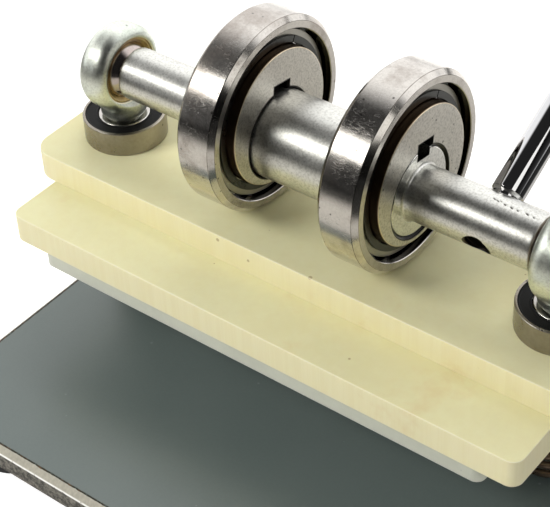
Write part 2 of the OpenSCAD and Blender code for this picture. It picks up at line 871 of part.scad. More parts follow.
module lever_grip() {
    color([0.07, 0.07, 0.07]) at_lever() translate([0, 0, grip_start]) rotate_extrude()
        difference() {
            union() {
                square([grip_r + grip_collar_h, grip_collar_l]);
                square([grip_r, grip_l - grip_r]);
                translate([0, grip_l - grip_r]) intersection() {
                    circle(grip_r);
                    square(grip_r + over);
                }
            }
            for (i = [1 : groove_count])
                translate([grip_r, grip_collar_l + groove_pitch * i]) circle(groove_r);
            translate([0, -over])
                square([bar_r + fixed_gap, over + grip_l - grip_cap + fixed_gap]);
        }
}

base_plate();
rubber_feet();
foot_screws();
rod_end_left();
rod_end_right();
race_left();
race_right();
lock_nut_left();
lock_nut_right();
spring_left();
spring_right();
cam_shaft();
rod_ball_left();
rod_ball_right();
shaft_key_left();
shaft_key_right();
eccentric_ring_left();
eccentric_ring_right();
outer_ring_left();
outer_ring_right();
roller_cage_left();
roller_cage_right();
split_rings_left();
split_rings_right();
rollers_left();
rollers_right();
upper_plate();
lower_plate();
press_pad();
plate_screws();
guide_outer_ring_left();
guide_outer_ring_right();
guide_seals_left();
guide_seals_right();
guide_inner_ring_left();
guide_inner_ring_right();
guide_balls_left();
guide_balls_right();
guide_cage_left();
guide_cage_right();
lever_bar();
lever_grip();
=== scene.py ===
"""Looks of a bench lever press that embosses leather belts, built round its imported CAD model.

Each piece is a surface worked out with numpy, or a CAD node with a finish of its own. The file is laid
out as an add-on: sizes and colours are properties, and one operator makes each group of like pieces.
"""
from math import acos, asin, atan2, cos, pi, radians, sin, sqrt, tan

import bmesh
import bpy
import numpy as np
from bpy.props import FloatProperty, FloatVectorProperty, PointerProperty
from mathutils import Matrix, Vector
from mathutils.geometry import tessellate_polygon


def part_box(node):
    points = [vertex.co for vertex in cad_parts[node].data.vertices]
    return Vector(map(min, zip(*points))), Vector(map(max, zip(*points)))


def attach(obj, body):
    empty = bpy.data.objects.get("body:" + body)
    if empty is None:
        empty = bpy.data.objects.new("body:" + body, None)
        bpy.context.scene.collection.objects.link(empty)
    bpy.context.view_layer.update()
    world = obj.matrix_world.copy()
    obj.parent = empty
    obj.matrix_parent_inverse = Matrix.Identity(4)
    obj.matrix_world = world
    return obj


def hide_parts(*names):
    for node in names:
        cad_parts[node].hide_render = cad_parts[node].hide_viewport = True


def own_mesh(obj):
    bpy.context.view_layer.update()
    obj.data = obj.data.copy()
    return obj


bl_info = {
    "name": "Belt embossing press",
    "version": (1, 0, 0),
    "blender": (4, 5, 0),
    "location": "3D View > Sidebar > Belt press",
    "description": "Dresses the CAD model of a lever press for leather belts",
    "category": "Add Mesh",
}

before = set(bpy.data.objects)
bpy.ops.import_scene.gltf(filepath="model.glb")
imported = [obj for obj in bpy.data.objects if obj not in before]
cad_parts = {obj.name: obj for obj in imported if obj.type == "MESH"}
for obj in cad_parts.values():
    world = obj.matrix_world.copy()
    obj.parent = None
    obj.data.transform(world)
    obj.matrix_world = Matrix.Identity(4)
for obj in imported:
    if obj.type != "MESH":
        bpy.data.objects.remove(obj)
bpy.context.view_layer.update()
MM = 0.001
SIDES = (("left", -1), ("right", 1))


def middle(node):
    """The middle of a CAD node's box."""
    low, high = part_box(node)
    return (low + high) / 2


def extent(node):
    """The size of a CAD node's box."""
    low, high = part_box(node)
    return high - low


# Places and outer sizes come from the CAD nodes' boxes
SHAFT_Z = middle("race_right").z
ROD_X = middle("race_right").x
RING_MIDDLE = middle("outer_ring_right")
RING_R = extent("outer_ring_right").z / 2
RING_W = extent("outer_ring_right").x
RING_X = {name: middle("outer_ring_" + name).x for name, _ in SIDES}
RING_AXIS = (0, RING_MIDDLE.y, RING_MIDDLE.z)
SHAFT_AXIS = (0, 0, SHAFT_Z)
BASE_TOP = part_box("base_plate")[1].z
BASE_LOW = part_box("base_plate")[0].z
STAND_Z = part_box("rubber_feet")[0].z
GUIDE_W = extent("guide_outer_ring_right").z
GUIDE_R = extent("guide_outer_ring_right").x / 2
GUIDE_Z = middle("guide_outer_ring_right").z
BAR_X = middle("lever_bar").x
BAR_R = extent("lever_bar").x / 2
SHAFT_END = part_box("cam_shaft")[1].x

# Sizes inside the boxes, as the CAD source has them, and the pitches of the two threads
FIXED_GAP = 0.03 * MM
RING_BORE_R = 34.8 * MM
RACE_R = 26 * MM
RIB_R, RIB_X, RIB_IN_X = 28 * MM, 10.4 * MM, 4.3 * MM
CAGE_IN_R, CAGE_OUT_R, CAGE_X = 28.5 * MM, 33.8 * MM, 5.6 * MM
ROLLER_RING_R, ROLLER_R, ROLLER_COUNT, POCKET_L = 30.4 * MM, 4.3 * MM, 16, 8.6 * MM
SPLIT_R, SPLIT_T, SLIT_TURN, SLIT_W = 31.3 * MM, 1 * MM, radians(60), 0.4 * MM
ECC_ANGLE = radians(82)
KEY_W, KEY_TOP = 8.06 * MM, 20.8 * MM
KEYWAY_FROM_X, KEYWAY_TO_X, KEYWAY_DEPTH = 25.97 * MM, 44 * MM, 4.03 * MM
BORE_R = 18.03 * MM
MID_R, MID_X = 18 * MM, 43 * MM
BASE_BEVEL, BASE_CORNER = 2.5 * MM, 5 * MM
FOOT_R, FOOT_TOP_R = 15 * MM, 13 * MM
FOOT_HOLE_R, FOOT_HEAD_R, FOOT_HEAD_Z = 2.53 * MM, 4.53 * MM, 6 * MM
ARM_R, SHOULDER_X, SPIGOT_R = 11 * MM, 95.5 * MM, 7 * MM
HEAD_R, HEAD_W, HEAD_BORE_R = 18.5 * MM, 13.5 * MM, 14.03 * MM
BALL_R, BALL_W = 12.7 * MM, 19 * MM
SHANK_R, SHANK_PITCH = 7 * MM, 2 * MM
NECK_DROP = 21.57 * MM
SPRING_R, WIRE_R, OPEN_CURLS = 12 * MM, 1.5 * MM, 7
SPRING_LOW, SPRING_HIGH, CLOSED_RISE = BASE_TOP + 1.53 * MM, 6.2 * MM, 3.5 * MM
PLATE_CORNERS = (("upper", 10 * MM), ("lower", 5 * MM))
GUIDE_BORE_R, GUIDE_INNER_R, GUIDE_OUTER_BORE_R = 7.5 * MM, 10.8 * MM, 15.1 * MM
PAD_BITE_R, PAD_CORNER = 15 * MM, 4 * MM
LEVER_ANGLE = radians(28)
STUD_R, STUD_DEPTH, LEVER_HOLE_HALF, LEVER_PITCH = 5.5 * MM, 16 * MM, 12.5 * MM, 1.75 * MM
GRIP_R, GRIP_L, GRIP_CAP = 12.5 * MM, 105 * MM, 17 * MM


def across_x(angle):
    """Axes with the first along X and the third turned up from Y by an angle."""
    return np.array([[1, 0, 0], [0, sin(angle), -cos(angle)], [0, cos(angle), sin(angle)]])


ALONG_X = np.array([[0, 1, 0], [0, 0, 1], [1, 0, 0]], float)
UPRIGHT = np.eye(3)
ALONG_LEVER = across_x(LEVER_ANGLE)
ALONG_KEY = across_x(ECC_ANGLE)


# Surfaces

def unit(v):
    """Vectors divided by their own lengths."""
    return v / np.linalg.norm(v, axis=-1, keepdims=True)


def full_turn(steps):
    """The angles of a whole turn in equal steps."""
    return np.linspace(0, 2 * pi, steps, endpoint=False)


def on_circle(r, a, x=0.0, y=0.0):
    """Flat points at the angles a of a circle about (x, y)."""
    return np.stack([x + r * np.cos(a), y + r * np.sin(a)], 1)


def set_down(points, origin, axes):
    """Local points laid into the frame: origin + x * axes[0] + y * axes[1] + z * axes[2]."""
    return np.asarray(origin, float) + np.asarray(points, float).reshape(-1, 3) @ axes


def mirrored(upper):
    """Rows of (across, height, value) after their mirror images, which come in reverse order."""
    upper = np.asarray(upper, float)
    return np.concatenate([(upper * [1, -1, 1])[::-1], upper])


def rounded(corners, closed=True, steps=5):
    """A line through corners of (x, y, radius), with each corner an arc between its two tangent points.

    An arc's middle lies on the corner's bisector, radius / sin(half angle) away. The third column tells
    how far a point is round the bend: 0 on the straights and 1 in the middle of an arc.
    """
    c = np.asarray(corners, float)
    p = c[:, :2]
    back, ahead = unit(np.roll(p, 1, 0) - p + 1e-12), unit(np.roll(p, -1, 0) - p + 1e-12)
    last = len(c) - 1
    t = np.linspace(0, 1, steps + 1)
    rows = []
    for i, (here, r, u, v) in enumerate(zip(p, c[:, 2], back, ahead)):
        if r == 0 or (not closed and i in (0, last)):
            rows.append(np.array([[*here, 0]], float))
            continue
        half = acos(max(-1, min(1, float(u @ v)))) / 2
        centre = here + unit(u + v) * r / sin(half)
        start, end = here + u * r / tan(half) - centre, here + v * r / tan(half) - centre
        first = atan2(start[1], start[0])
        turn = (atan2(end[1], end[0]) - first + pi) % (2 * pi) - pi
        arc = on_circle(r, first + turn * t, *centre)
        rows.append(np.column_stack([arc, np.sin(pi * t)]))
    return np.concatenate(rows)


def net(rows, columns, wrap_rows, wrap_columns, start=0):
    """Quads between neighbouring points of a grid of rows and columns, numbered row by row."""
    i = np.arange(rows if wrap_rows else rows - 1)[:, None]
    j = np.arange(columns if wrap_columns else columns - 1)[None, :]
    up, over = (i + 1) % rows, (j + 1) % columns
    quads = np.stack([i * columns + j, i * columns + over, up * columns + over, up * columns + j], -1)
    return quads.reshape(-1, 4) + start


def around(r, h, steps):
    """A grid of points (r cos a, r sin a, h), where r and h hold for a row or for each point."""
    a = full_turn(steps)
    return np.stack(np.broadcast_arrays(r * np.cos(a), r * np.sin(a), h), -1)


def capped(grid):
    """A grid of rings with one more row at each end, on the axis at that end's height."""
    ends = grid[[0, -1]] * [0, 0, 1]
    return np.concatenate([ends[:1], grid, ends[1:]])


def sleeve(grid, origin, axes, wrap_rows=False, edge=None):
    """A shell of (points, faces, edge values) from a grid of local points whose rows are rings."""
    rows, columns = grid.shape[:2]
    if edge is None:
        edge = np.zeros(rows * columns)
    return set_down(grid, origin, axes), net(rows, columns, wrap_rows, True).tolist(), edge


def turned(profile, origin, axes, segments=160, closed=True):
    """A profile of (radius, height, edge) rows turned about an axis: (r cos a, r sin a, h)."""
    r, h, edge = profile.T[..., None]
    return sleeve(around(r, h, segments), origin, axes, closed, np.repeat(edge, segments))


def slab(lines, profiles, origin=(0, 0, 0), axes=UPRIGHT):
    """A flat body: its outer line and its holes' lines, each carried along a profile, with flat caps.

    Each line is a function of an inset and gives the line moved that far into the material. A profile
    has rows of (inset, height, edge). The caps fill between the lines' first and last rows.
    """
    points, faces, edges, low, high = [], [], [], [], []
    start = 0
    for line, profile in zip(lines, profiles):
        rings = np.stack([line(inset) for inset in profile[:, 0]])
        rows, n = rings.shape[:2]
        height = np.repeat(profile[:, 1], n).reshape(rows, n, 1)
        points.append(set_down(np.concatenate([rings, height], -1), origin, axes))
        faces += net(rows, n, False, True, start).tolist()
        edges.append(np.repeat(profile[:, 2], n))
        low.append((rings[0], start))
        high.append((rings[-1], start + (rows - 1) * n))
        start += rows * n
    for cap in (low, high):
        number = np.concatenate([first + np.arange(len(ring)) for ring, first in cap])
        loops = [[Vector((x / MM, y / MM, 0)) for x, y in ring] for ring, _ in cap]
        faces += number[np.array(tessellate_polygon(loops))].tolist()
    return np.concatenate(points), faces, np.concatenate(edges)


def circle(r, x=0.0, y=0.0, n=96, inwards=1):
    """A circle's line: radius r - inset for an outer line, or r + inset for a hole (inwards=-1)."""
    return lambda d: on_circle(r - inwards * d, full_turn(n), x, y)


def shank_holes(r, n):
    """The lines of the two holes that the rod ends' shanks go through."""
    return [circle(r, s * ROD_X, 0, n, -1) for _, s in SIDES]


def round_rectangle(width, depth, r, x=0.0, corner_steps=9, side_steps=24):
    """A rectangle's line: quarter circles of radius r - inset about points r inside its corners.

    Each side between them is cut into short steps.
    """
    def line(d):
        w, h, c = width / 2 - r, depth / 2 - r, r - d
        quarter = np.linspace(0, pi / 2, corner_steps)
        parts = [on_circle(c, quarter + k * pi / 2, sx * w, sy * h)
                 for k, (sx, sy) in enumerate(((1, 1), (-1, 1), (-1, -1), (1, -1)))]
        rows = []
        for here, after in zip(parts, parts[1:] + parts[:1]):
            s = np.linspace(0, 1, side_steps + 1)[1:-1, None]
            rows += [here, here[-1] * (1 - s) + after[0] * s]
        return np.concatenate(rows) + [x, 0]
    return line


def edge_profile(low, high, round_low, round_high):
    """A side wall from low to high with its two edges rounded into the flat caps."""
    return rounded([(2 * round_low, low, 0), (0, low, round_low), (0, high, round_high),
                    (2 * round_high, high, 0)], closed=False, steps=4)


def thread_wave(h, a, pitch):
    """How near a groove a point of a thread is, 0 to 1: a zigzag of h / pitch - a / (2 pi)."""
    return np.abs(((h / pitch - a / (2 * pi)) % 1) * 2 - 1)


def threaded_rod(r, depth, pitch, low, high, fade_low, fade_high, segments=56):
    """A threaded rod's grid: radius r - depth * wave, with a tapered low end and a plain high end.

    The wave is steepened and clipped, which leaves crests and roots flat.
    """
    rows_per_turn = 9
    h = np.linspace(low, high, int((high - low) / pitch * rows_per_turn) + 1)[:, None]
    cut = depth * np.clip(thread_wave(h, full_turn(segments), pitch) * 1.5 - 0.25, 0, 1)
    cut *= np.clip((high - fade_high - h) / pitch, 0, 1)
    taper = np.clip(low + fade_low - h, 0, None)
    return capped(around(np.minimum(r - cut, r - taper), h, segments))


# Pieces

def finish_mesh(mesh, sharp=radians(38)):
    """Merges doubles, turns faces outwards and smooths all but sharp edges."""
    bm = bmesh.new()
    bm.from_mesh(mesh)
    bmesh.ops.remove_doubles(bm, verts=bm.verts, dist=2e-7)
    bmesh.ops.dissolve_degenerate(bm, edges=bm.edges, dist=1e-8)
    bmesh.ops.recalc_face_normals(bm, faces=bm.faces)
    bm.to_mesh(mesh)
    bm.free()
    mesh.polygons.foreach_set("use_smooth", np.ones(len(mesh.polygons), bool))
    mesh.set_sharp_from_angle(angle=sharp)
    mesh.update()


def make_object(name, shells, sharp=radians(38)):
    """One object from shells of (points, faces, edge values), with the edge values as an attribute.

    In that attribute, 1 is a worn edge, 0 is plain, and -1 is a wall painted black as shade in a gap.
    """
    points, faces, edges, start = [], [], [], 0
    for p, f, e in shells:
        points.append(p)
        faces += [[i + start for i in face] for face in f] if start else f
        edges.append(e)
        start += len(p)
    mesh = bpy.data.meshes.new(name)
    mesh.from_pydata(np.concatenate(points).tolist(), [], faces)
    mesh.attributes.new("edge", "FLOAT", "POINT").data.foreach_set(
        "value", np.concatenate(edges).astype(np.float32))
    finish_mesh(mesh, sharp)
    obj = bpy.data.objects.new(name, mesh)
    bpy.context.scene.collection.objects.link(obj)
    return obj


def settle(obj, body, material, node, weighted=True):
    """Gives a piece its finish and its body, and hides the CAD node that it stands for."""
    obj.data.materials.append(material)
    if weighted:
        normals = obj.modifiers.new("flat faces stay flat", "WEIGHTED_NORMAL")
        normals.keep_sharp = True
        normals.weight = 60
    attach(obj, body)
    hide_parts(node)
    return obj


def piece(name, shells, body, material, node, sharp=38, weighted=True):
    """A settled piece from its shells, with edges sharper than so many degrees kept sharp."""
    return settle(make_object(name, shells, radians(sharp)), body, material, node, weighted)


def carve(obj, cutters):
    """Cuts the cutters out of obj and removes them."""
    for cutter in cutters:
        cut = obj.modifiers.new("cut", "BOOLEAN")
        cut.operation, cut.solver, cut.object = "DIFFERENCE", "EXACT", cutter
    bpy.context.view_layer.update()
    graph = bpy.context.evaluated_depsgraph_get()
    mesh = bpy.data.meshes.new_from_object(obj.evaluated_get(graph))
    obj.modifiers.clear()
    if len(mesh.polygons) == 0:
        raise RuntimeError("the cuts left nothing of " + obj.name)
    obj.data = mesh
    for cutter in cutters:
        bpy.data.objects.remove(cutter)
    finish_mesh(mesh)


def box_shell(low, high, origin, axes):
    """A box between two local corners, for a cut."""
    x, y, z = [np.array([a, b], float) for a, b in zip(low, high)]
    grid = np.stack(np.meshgrid(x, y, z, indexing="ij"), -1)
    faces = [[0, 1, 3, 2], [4, 6, 7, 5], [0, 4, 5, 1], [2, 3, 7, 6], [0, 2, 6, 4], [1, 5, 7, 3]]
    return set_down(grid, origin, axes), faces, np.zeros(8)


def dress_node(node, material):
    """Gives a CAD node that stays in view its finish."""
    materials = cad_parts[node].data.materials
    materials.clear()
    materials.append(material)


# Finishes

class Tree:
    """Adds nodes to a node tree. A value given for a socket is set on it, and a socket is linked."""

    def __init__(self, tree):
        self.tree = tree

    def __call__(self, kind, *values, out=0, **named):
        node = self.tree.nodes.new("ShaderNode" + kind)
        for key, value in named.items():
            if hasattr(node, key) and key not in node.inputs:
                setattr(node, key, value)
            else:
                self.fill(node, **{key: value})
        self.feed_all(node, values)
        return node.outputs[out]

    def feed(self, socket, value):
        """Links or sets a socket. A colour may leave its alpha out."""
        if isinstance(value, bpy.types.NodeSocket):
            self.tree.links.new(value, socket)
        elif socket.type == "RGBA":
            socket.default_value = (*value[:3], 1.0)
        else:
            socket.default_value = value

    def feed_all(self, node, values):
        """Feeds a node's live sockets in their order."""
        for socket, value in zip([s for s in node.inputs if s.enabled], values):
            self.feed(socket, value)

    def fill(self, node, **named):
        """Feeds a node's sockets by name, with _ for a blank."""
        for key, value in named.items():
            self.feed(node.inputs[key.replace("_", " ")], value)

    def math(self, operation, *values, clamp=False):
        return self("Math", *values, operation=operation, use_clamp=clamp)

    def times(self, a, b):
        return self.math("MULTIPLY", a, b)

    def plus(self, a, b, clamp=False):
        return self.math("ADD", a, b, clamp=clamp)

    def minus(self, a, b, clamp=False):
        return self.math("SUBTRACT", a, b, clamp=clamp)

    def absolute(self, value):
        return self.math("ABSOLUTE", value)

    def larger(self, a, b):
        return self.math("MAXIMUM", a, b)

    def mix(self, factor, a, b, kind="RGBA", blend="MIX"):
        """Two colours mixed by a factor, or with kind FLOAT two values."""
        node = self.tree.nodes.new("ShaderNodeMix")
        node.data_type = kind
        if kind == "RGBA":
            node.blend_type = blend
        self.feed_all(node, (factor, a, b))
        return [s for s in node.outputs if s.enabled][0]

    def between(self, factor, a, b):
        return self.mix(factor, a, b, kind="FLOAT")

    def ramp(self, value, low, high, to_low=0.0, to_high=1.0):
        """A smooth rise from to_low to to_high while the value goes from low to high."""
        return self("MapRange", value, low, high, to_low, to_high, interpolation_type="SMOOTHSTEP")

    def coordinates(self):
        return self("TexCoord", out="Object")

    def moved(self, vector, shift=(0, 0, 0), turn=(0, 0, 0)):
        return self("Mapping", vector, tuple(shift), tuple(turn), (1, 1, 1))

    def scaled(self, vector, factors):
        return self("VectorMath", vector, factors, operation="MULTIPLY")

    def split(self, vector):
        """The three parts of a vector."""
        node = self.tree.nodes.new("ShaderNodeSeparateXYZ")
        self.feed(node.inputs[0], vector)
        return node.outputs

    def noise(self, vector, scale=1.0, detail=2.0, rough=0.5):
        return self("TexNoise", Vector=vector, Scale=scale, Detail=detail, Roughness=rough)

    def edge(self):
        """The point attribute that tells worn edges and the walls painted black as shade in gaps."""
        return self("Attribute", attribute_name="edge", out="Fac")

    def effect(self, name, vector, **named):
        """A shared effect placed in this tree with values of its own."""
        node = self.tree.nodes.new("ShaderNodeGroup")
        node.node_tree = GROUPS[name]
        self.fill(node, Vector=vector, **named)
        return node.outputs[0]

    def bump(self, height, strength, distance):
        """A normal from a height."""
        return self("Bump", Strength=strength, Distance=distance, Height=height)


GROUPS = {}


def new_group(name, output, **defaults):
    """An empty shader group with a Vector and named values as inputs, and one value as output."""
    tree = bpy.data.node_groups.new(name, "ShaderNodeTree")
    tree.interface.new_socket(name="Vector", in_out="INPUT", socket_type="NodeSocketVector")
    for key, default in defaults.items():
        kind = "Vector" if isinstance(default, tuple) else "Float"
        socket = tree.interface.new_socket(name=key.replace("_", " "), in_out="INPUT",
                                           socket_type="NodeSocket" + kind)
        socket.default_value = default
    tree.interface.new_socket(name=output, in_out="OUTPUT", socket_type="NodeSocketFloat")
    source, sink = tree.nodes.new("NodeGroupInput"), tree.nodes.new("NodeGroupOutput")
    return Tree(tree), source.outputs, sink.inputs[output]


def mottle_group():
    """Soft clouds of two sizes, 0 to 1: coarse noise with a share of fine noise."""
    t, i, out = new_group("Mottle", "Value", Scale=40.0, Fine_Scale=400.0, Fine_Share=0.4)
    coarse = t.noise(i["Vector"], i["Scale"], 3.0, 0.55)
    fine = t.noise(i["Vector"], i["Fine Scale"], 2.0, 0.6)
    t.feed(out, t.between(i["Fine Share"], coarse, fine))
    return t.tree


def speck_group():
    """Small round specks where a cell's middle is near and its own random colour lets it show."""
    t, i, out = new_group("Specks", "Mask", Scale=300.0, Size=0.2, Share=0.2)
    cell, tone = [t("TexVoronoi", Vector=i["Vector"], Scale=i["Scale"], Randomness=1.0, out=part)
                  for part in ("Distance", "Color")]
    pick, size = [t("SeparateColor", tone, out=part) for part in (0, 1)]
    near = t.ramp(t.math("DIVIDE", cell, t.times(i["Size"], t.plus(size, 0.3))), 1.0, 0.6)
    t.feed(out, t.times(near, t.math("LESS_THAN", pick, i["Share"])))
    return t.tree


def scratch_group():
    """Thin lines in two slightly crossed directions: stretched noise, kept near its middle."""
    t, i, out = new_group("Scratches", "Mask", Scale=60.0, Stretch=(1.0, 12.0, 12.0), Width=0.02,
                          Share=0.5)
    lines = []
    for turn in (0.12, -0.2):
        bent = t.moved(i["Vector"], turn=(turn, turn, turn * 1.7))
        along = t.noise(t.scaled(bent, i["Stretch"]), i["Scale"], 1.0, 0.4)
        line = t("MapRange", t.absolute(t.minus(along, 0.5)), 0.0, i["Width"], 1.0, 0.0)
        patch = t.noise(bent, t.times(i["Scale"], 1.3), 1.0)
        lines.append(t.times(line, t.math("GREATER_THAN", i["Share"], patch)))
    t.feed(out, t.larger(*lines))
    return t.tree


def lathe_group():
    """Turning marks round the X axis: noise read at the distance from it and the place along it."""
    t, i, out = new_group("Turning marks", "Value", Scale=900.0, Round_Scale=6.0)
    x, y, z = t.split(i["Vector"])
    flat = t("CombineXYZ", 0.0, y, z)
    radius = t("VectorMath", flat, operation="LENGTH", out="Value")
    heading = t.scaled(t("VectorMath", flat, operation="NORMALIZE"), i["Round Scale"])
    place = t("CombineXYZ", t.times(x, i["Scale"]), t.times(radius, i["Scale"]), 0.0)
    t.feed(out, t.noise(t("VectorMath", place, heading, operation="ADD"), 1.0, 3.0, 0.6))
    return t.tree


def wear_group():
    """Worn edges: the edge attribute, broken up by noise."""
    t, i, out = new_group("Worn edges", "Mask", Scale=250.0, Amount=0.6)
    noise = t.noise(i["Vector"], i["Scale"], 3.0, 0.6)
    t.feed(out, t.ramp(t.times(t.edge(), t.plus(noise, i["Amount"])), 0.45, 0.9))
    return t.tree


def make_groups():
    """Builds each shared effect once."""
    GROUPS.update(mottle=mottle_group(), specks=speck_group(), scratches=scratch_group(),
                  lathe=lathe_group(), wear=wear_group())


def new_material(name):
    """An empty Principled material, a Tree that adds nodes to it, and its shader."""
    material = bpy.data.materials.new(name)
    material.use_nodes = True
    return material, Tree(material.node_tree), material.node_tree.nodes["Principled BSDF"]


def faded(rgb, share):
    """A colour times a share."""
    return [c * share for c in rgb]


# Painted shade: near black for walls inside gaps
GAP_SHADE_BLACK = (0.012, 0.011, 0.01)
PIT_BROWN = (0.30, 0.29, 0.26)


def metal(name, base, tint, rough, rough_swing, marks=0.0, marks_scale=900.0, middle_at=(0, 0, 0),
          turn=(0, 0, 0), mottle=0.3, scale=45.0, dark_specks=0.0, scratches=0.3, wear=0.2,
          edge_tone=(0.86, 0.84, 0.8), stain=None, shade=None, grain=0.0, ground=None):
    """Bare or plated metal: mottled colour and roughness, turning marks, scratches, specks, worn edges.

    The turning marks go round the X axis through middle_at, which turn can put another way. stain is
    (colour, amount) of soft dirty patches. grain darkens fine pits. shade is (inner radius, outer
    radius, reach, colour): a colour painted where the surface lies nearer that axis than the one
    radius, or farther than the other, and no farther along it than reach. It is painted shade in bores,
    holes, dents and gaps, and on the discs' rims a painted reflection. ground is (inner radius, outer
    radius, roughness) of a ground band between two distances from that axis. Walls whose edge attribute
    is below 0 are painted black as shade in a gap.
    """
    material, t, surface = new_material(name)
    co = t.coordinates()
    centred = t.moved(co, -np.array(middle_at, float))
    if any(turn):
        centred = t.moved(centred, turn=turn)
    x, y, z = t.split(centred)
    off = t.math("POWER", t.plus(t.math("POWER", y, 2.0), t.math("POWER", z, 2.0)), 0.5)
    cloud = t.effect("mottle", co, Scale=scale, Fine_Scale=scale * 12, Fine_Share=0.35)
    specks = t.effect("specks", co, Scale=420.0, Size=0.22, Share=dark_specks)
    worn = t.effect("wear", co, Scale=300.0, Amount=wear)
    lines = t.effect("scratches", co, Scale=70.0, Width=0.012, Share=scratches)
    turning = t.effect("lathe", centred, Scale=marks_scale, Round_Scale=4.0)

    tone = t.mix(t.ramp(cloud, 0.32, 0.68), base, tint)
    dirt = 0.0
    if stain:
        dirt = t.times(t.ramp(t.noise(co, 38.0, 5.0, 0.7), 0.48, 0.66), stain[1])
        tone = t.mix(dirt, tone, stain[0])
    tone = t.mix(specks, tone, faded(base, 0.3))
    if grain:
        fine = t.noise(co, 1100.0, 2.0, 0.6)
        tone = t.mix(t.ramp(fine, 0.42, 0.66, 0.0, grain), tone, PIT_BROWN, blend="MULTIPLY")
    # Worn edges; on the rod ends' and discs' rims the edge tone is partly a painted highlight
    tone = t.mix(worn, tone, edge_tone)
    # Painted shade in bores, holes, dents and gaps, and on the discs' rims a painted reflection, set by
    # distance from the axis
    if shade:
        inner, outer, reach, shade_tone = shade
        soft = 0.15 * MM
        deep = t.larger(t.ramp(off, inner, inner - soft), t.ramp(off, outer, outer + soft))
        tone = t.mix(t.times(deep, t.math("LESS_THAN", t.absolute(x), reach)), tone, shade_tone)
    # Painted shade: walls in gaps turn black
    tone = t.mix(t.ramp(t.edge(), -0.1, -0.7), tone, GAP_SHADE_BLACK)

    cloudy = t.ramp(cloud, 0.3, 0.7, rough - rough_swing, rough + rough_swing)
    if ground:
        band = t.times(t.math("GREATER_THAN", off, ground[0]), t.math("LESS_THAN", off, ground[1]))
        cloudy = t.between(band, cloudy, ground[2])
    roughness = t.plus(t.times(dirt, 0.12), t.plus(cloudy, t.times(lines, 0.12)), clamp=True)
    height = t.plus(t.times(cloud, mottle), t.times(turning, marks))
    height = t.minus(height, t.times(t.larger(lines, specks), 0.15))
    t.fill(surface, Base_Color=tone, Metallic=1.0, Roughness=roughness,
           Normal=t.bump(height, 0.5, 0.06 * MM))
    return material


def moulded_rubber(name, base, tint, rough, shine=0.5):
    """Rubber: faint clouds of colour, fine grain, rubbed edges and dust specks."""
    material, t, surface = new_material(name)
    co = t.coordinates()
    cloud = t.effect("mottle", co, Scale=60.0, Fine_Scale=1200.0, Fine_Share=0.4)
    dust = t.effect("specks", co, Scale=350.0, Size=0.18, Share=0.1)
    worn = t.effect("wear", co, Scale=350.0, Amount=0.35)
    tone = t.mix(t.ramp(cloud, 0.35, 0.65), base, tint)
    tone = t.mix(t.times(worn, 0.35), tone, [c * 1.5 + 0.02 for c in tint])
    tone = t.mix(t.times(dust, 0.6), tone, (0.25, 0.2, 0.1))
    t.fill(surface, Base_Color=tone, Roughness=t.ramp(cloud, 0.3, 0.7, rough - 0.08, rough + 0.08),
           Specular_IOR_Level=shine, Normal=t.bump(cloud, 0.5, 0.03 * MM))
    return material


# Properties

def colour_property(name, description, default):
    """A colour that a user can change."""
    return FloatVectorProperty(name=name, description=description, subtype="COLOR", size=3,
                               default=default, min=0, max=1)


def length_property(name, description, default, low, high):
    """A length that a user can change, kept in metres. Its values are given here in millimetres."""
    return FloatProperty(name=name, description=description, default=default * MM, min=low * MM,
                         max=high * MM, unit="LENGTH", subtype="DISTANCE", precision=5)


def power_property(name, description, default):
    """A light's power that a user can change."""
    return FloatProperty(name=name, description=description, unit="POWER", default=default, min=0,
                         max=100)


class PressSizes(bpy.types.PropertyGroup):
    """Sizes of the small shapes that the looks add."""
    nylon_edge: length_property("Nylon edge", "Rounding of the nylon plates' edges", 0.35, 0.1, 1)
    pad_edge: length_property("Pad edge", "Rounding of the pad's edges", 0.7, 0.1, 1.5)
    dent_depth: length_property("Dent depth", "Depth of the punched dents", 0.28, 0, 0.8)
    thread_depth: length_property("Thread depth", "Depth of the shanks' threads", 0.85, 0.1, 1.2)


class PressColours(bpy.types.PropertyGroup):
    """Colours of the finishes."""
    nylon: colour_property("Nylon", "The cream plates", (0.835, 0.81, 0.515))
    nylon_dark: colour_property("Nylon, dark", "Clouds in the cream plates", (0.79, 0.745, 0.45))
    pad: colour_property("Pad", "The pale pressing pad", (0.65, 0.66, 0.56))
    paint: colour_property("Paint", "The base plate's paint", (0.118, 0.148, 0.142))
    paint_dark: colour_property("Paint, dark", "Clouds in the paint", (0.100, 0.130, 0.125))
    steel: colour_property("Bearing steel", "The big bearings' rings", (0.58, 0.55, 0.51))
    zinc: colour_property("Zinc", "The rod ends", (0.86, 0.91, 0.83))
    shaft: colour_property("Shaft", "The satin shaft", (0.73, 0.73, 0.69))
    brass: colour_property("Brass", "The races in the rod ends", (0.46, 0.35, 0.15))


class StudioSettings(bpy.types.PropertyGroup):
    """Light of the studio."""
    key_power: power_property("Key light", "Power of the big soft light", 10.1)
    shine_power: power_property("Key reflection", "How bright metal mirrors the key light", 3.4)
    top_power: power_property("Top light", "Power of the light above", 5.8)
    fill_power: power_property("Fill light", "Power of the weak light from the right", 0.7)
    room: FloatProperty(name="Room", description="Brightness of the room", default=0.28, min=0, max=2)


# Operators: one for each group of like pieces

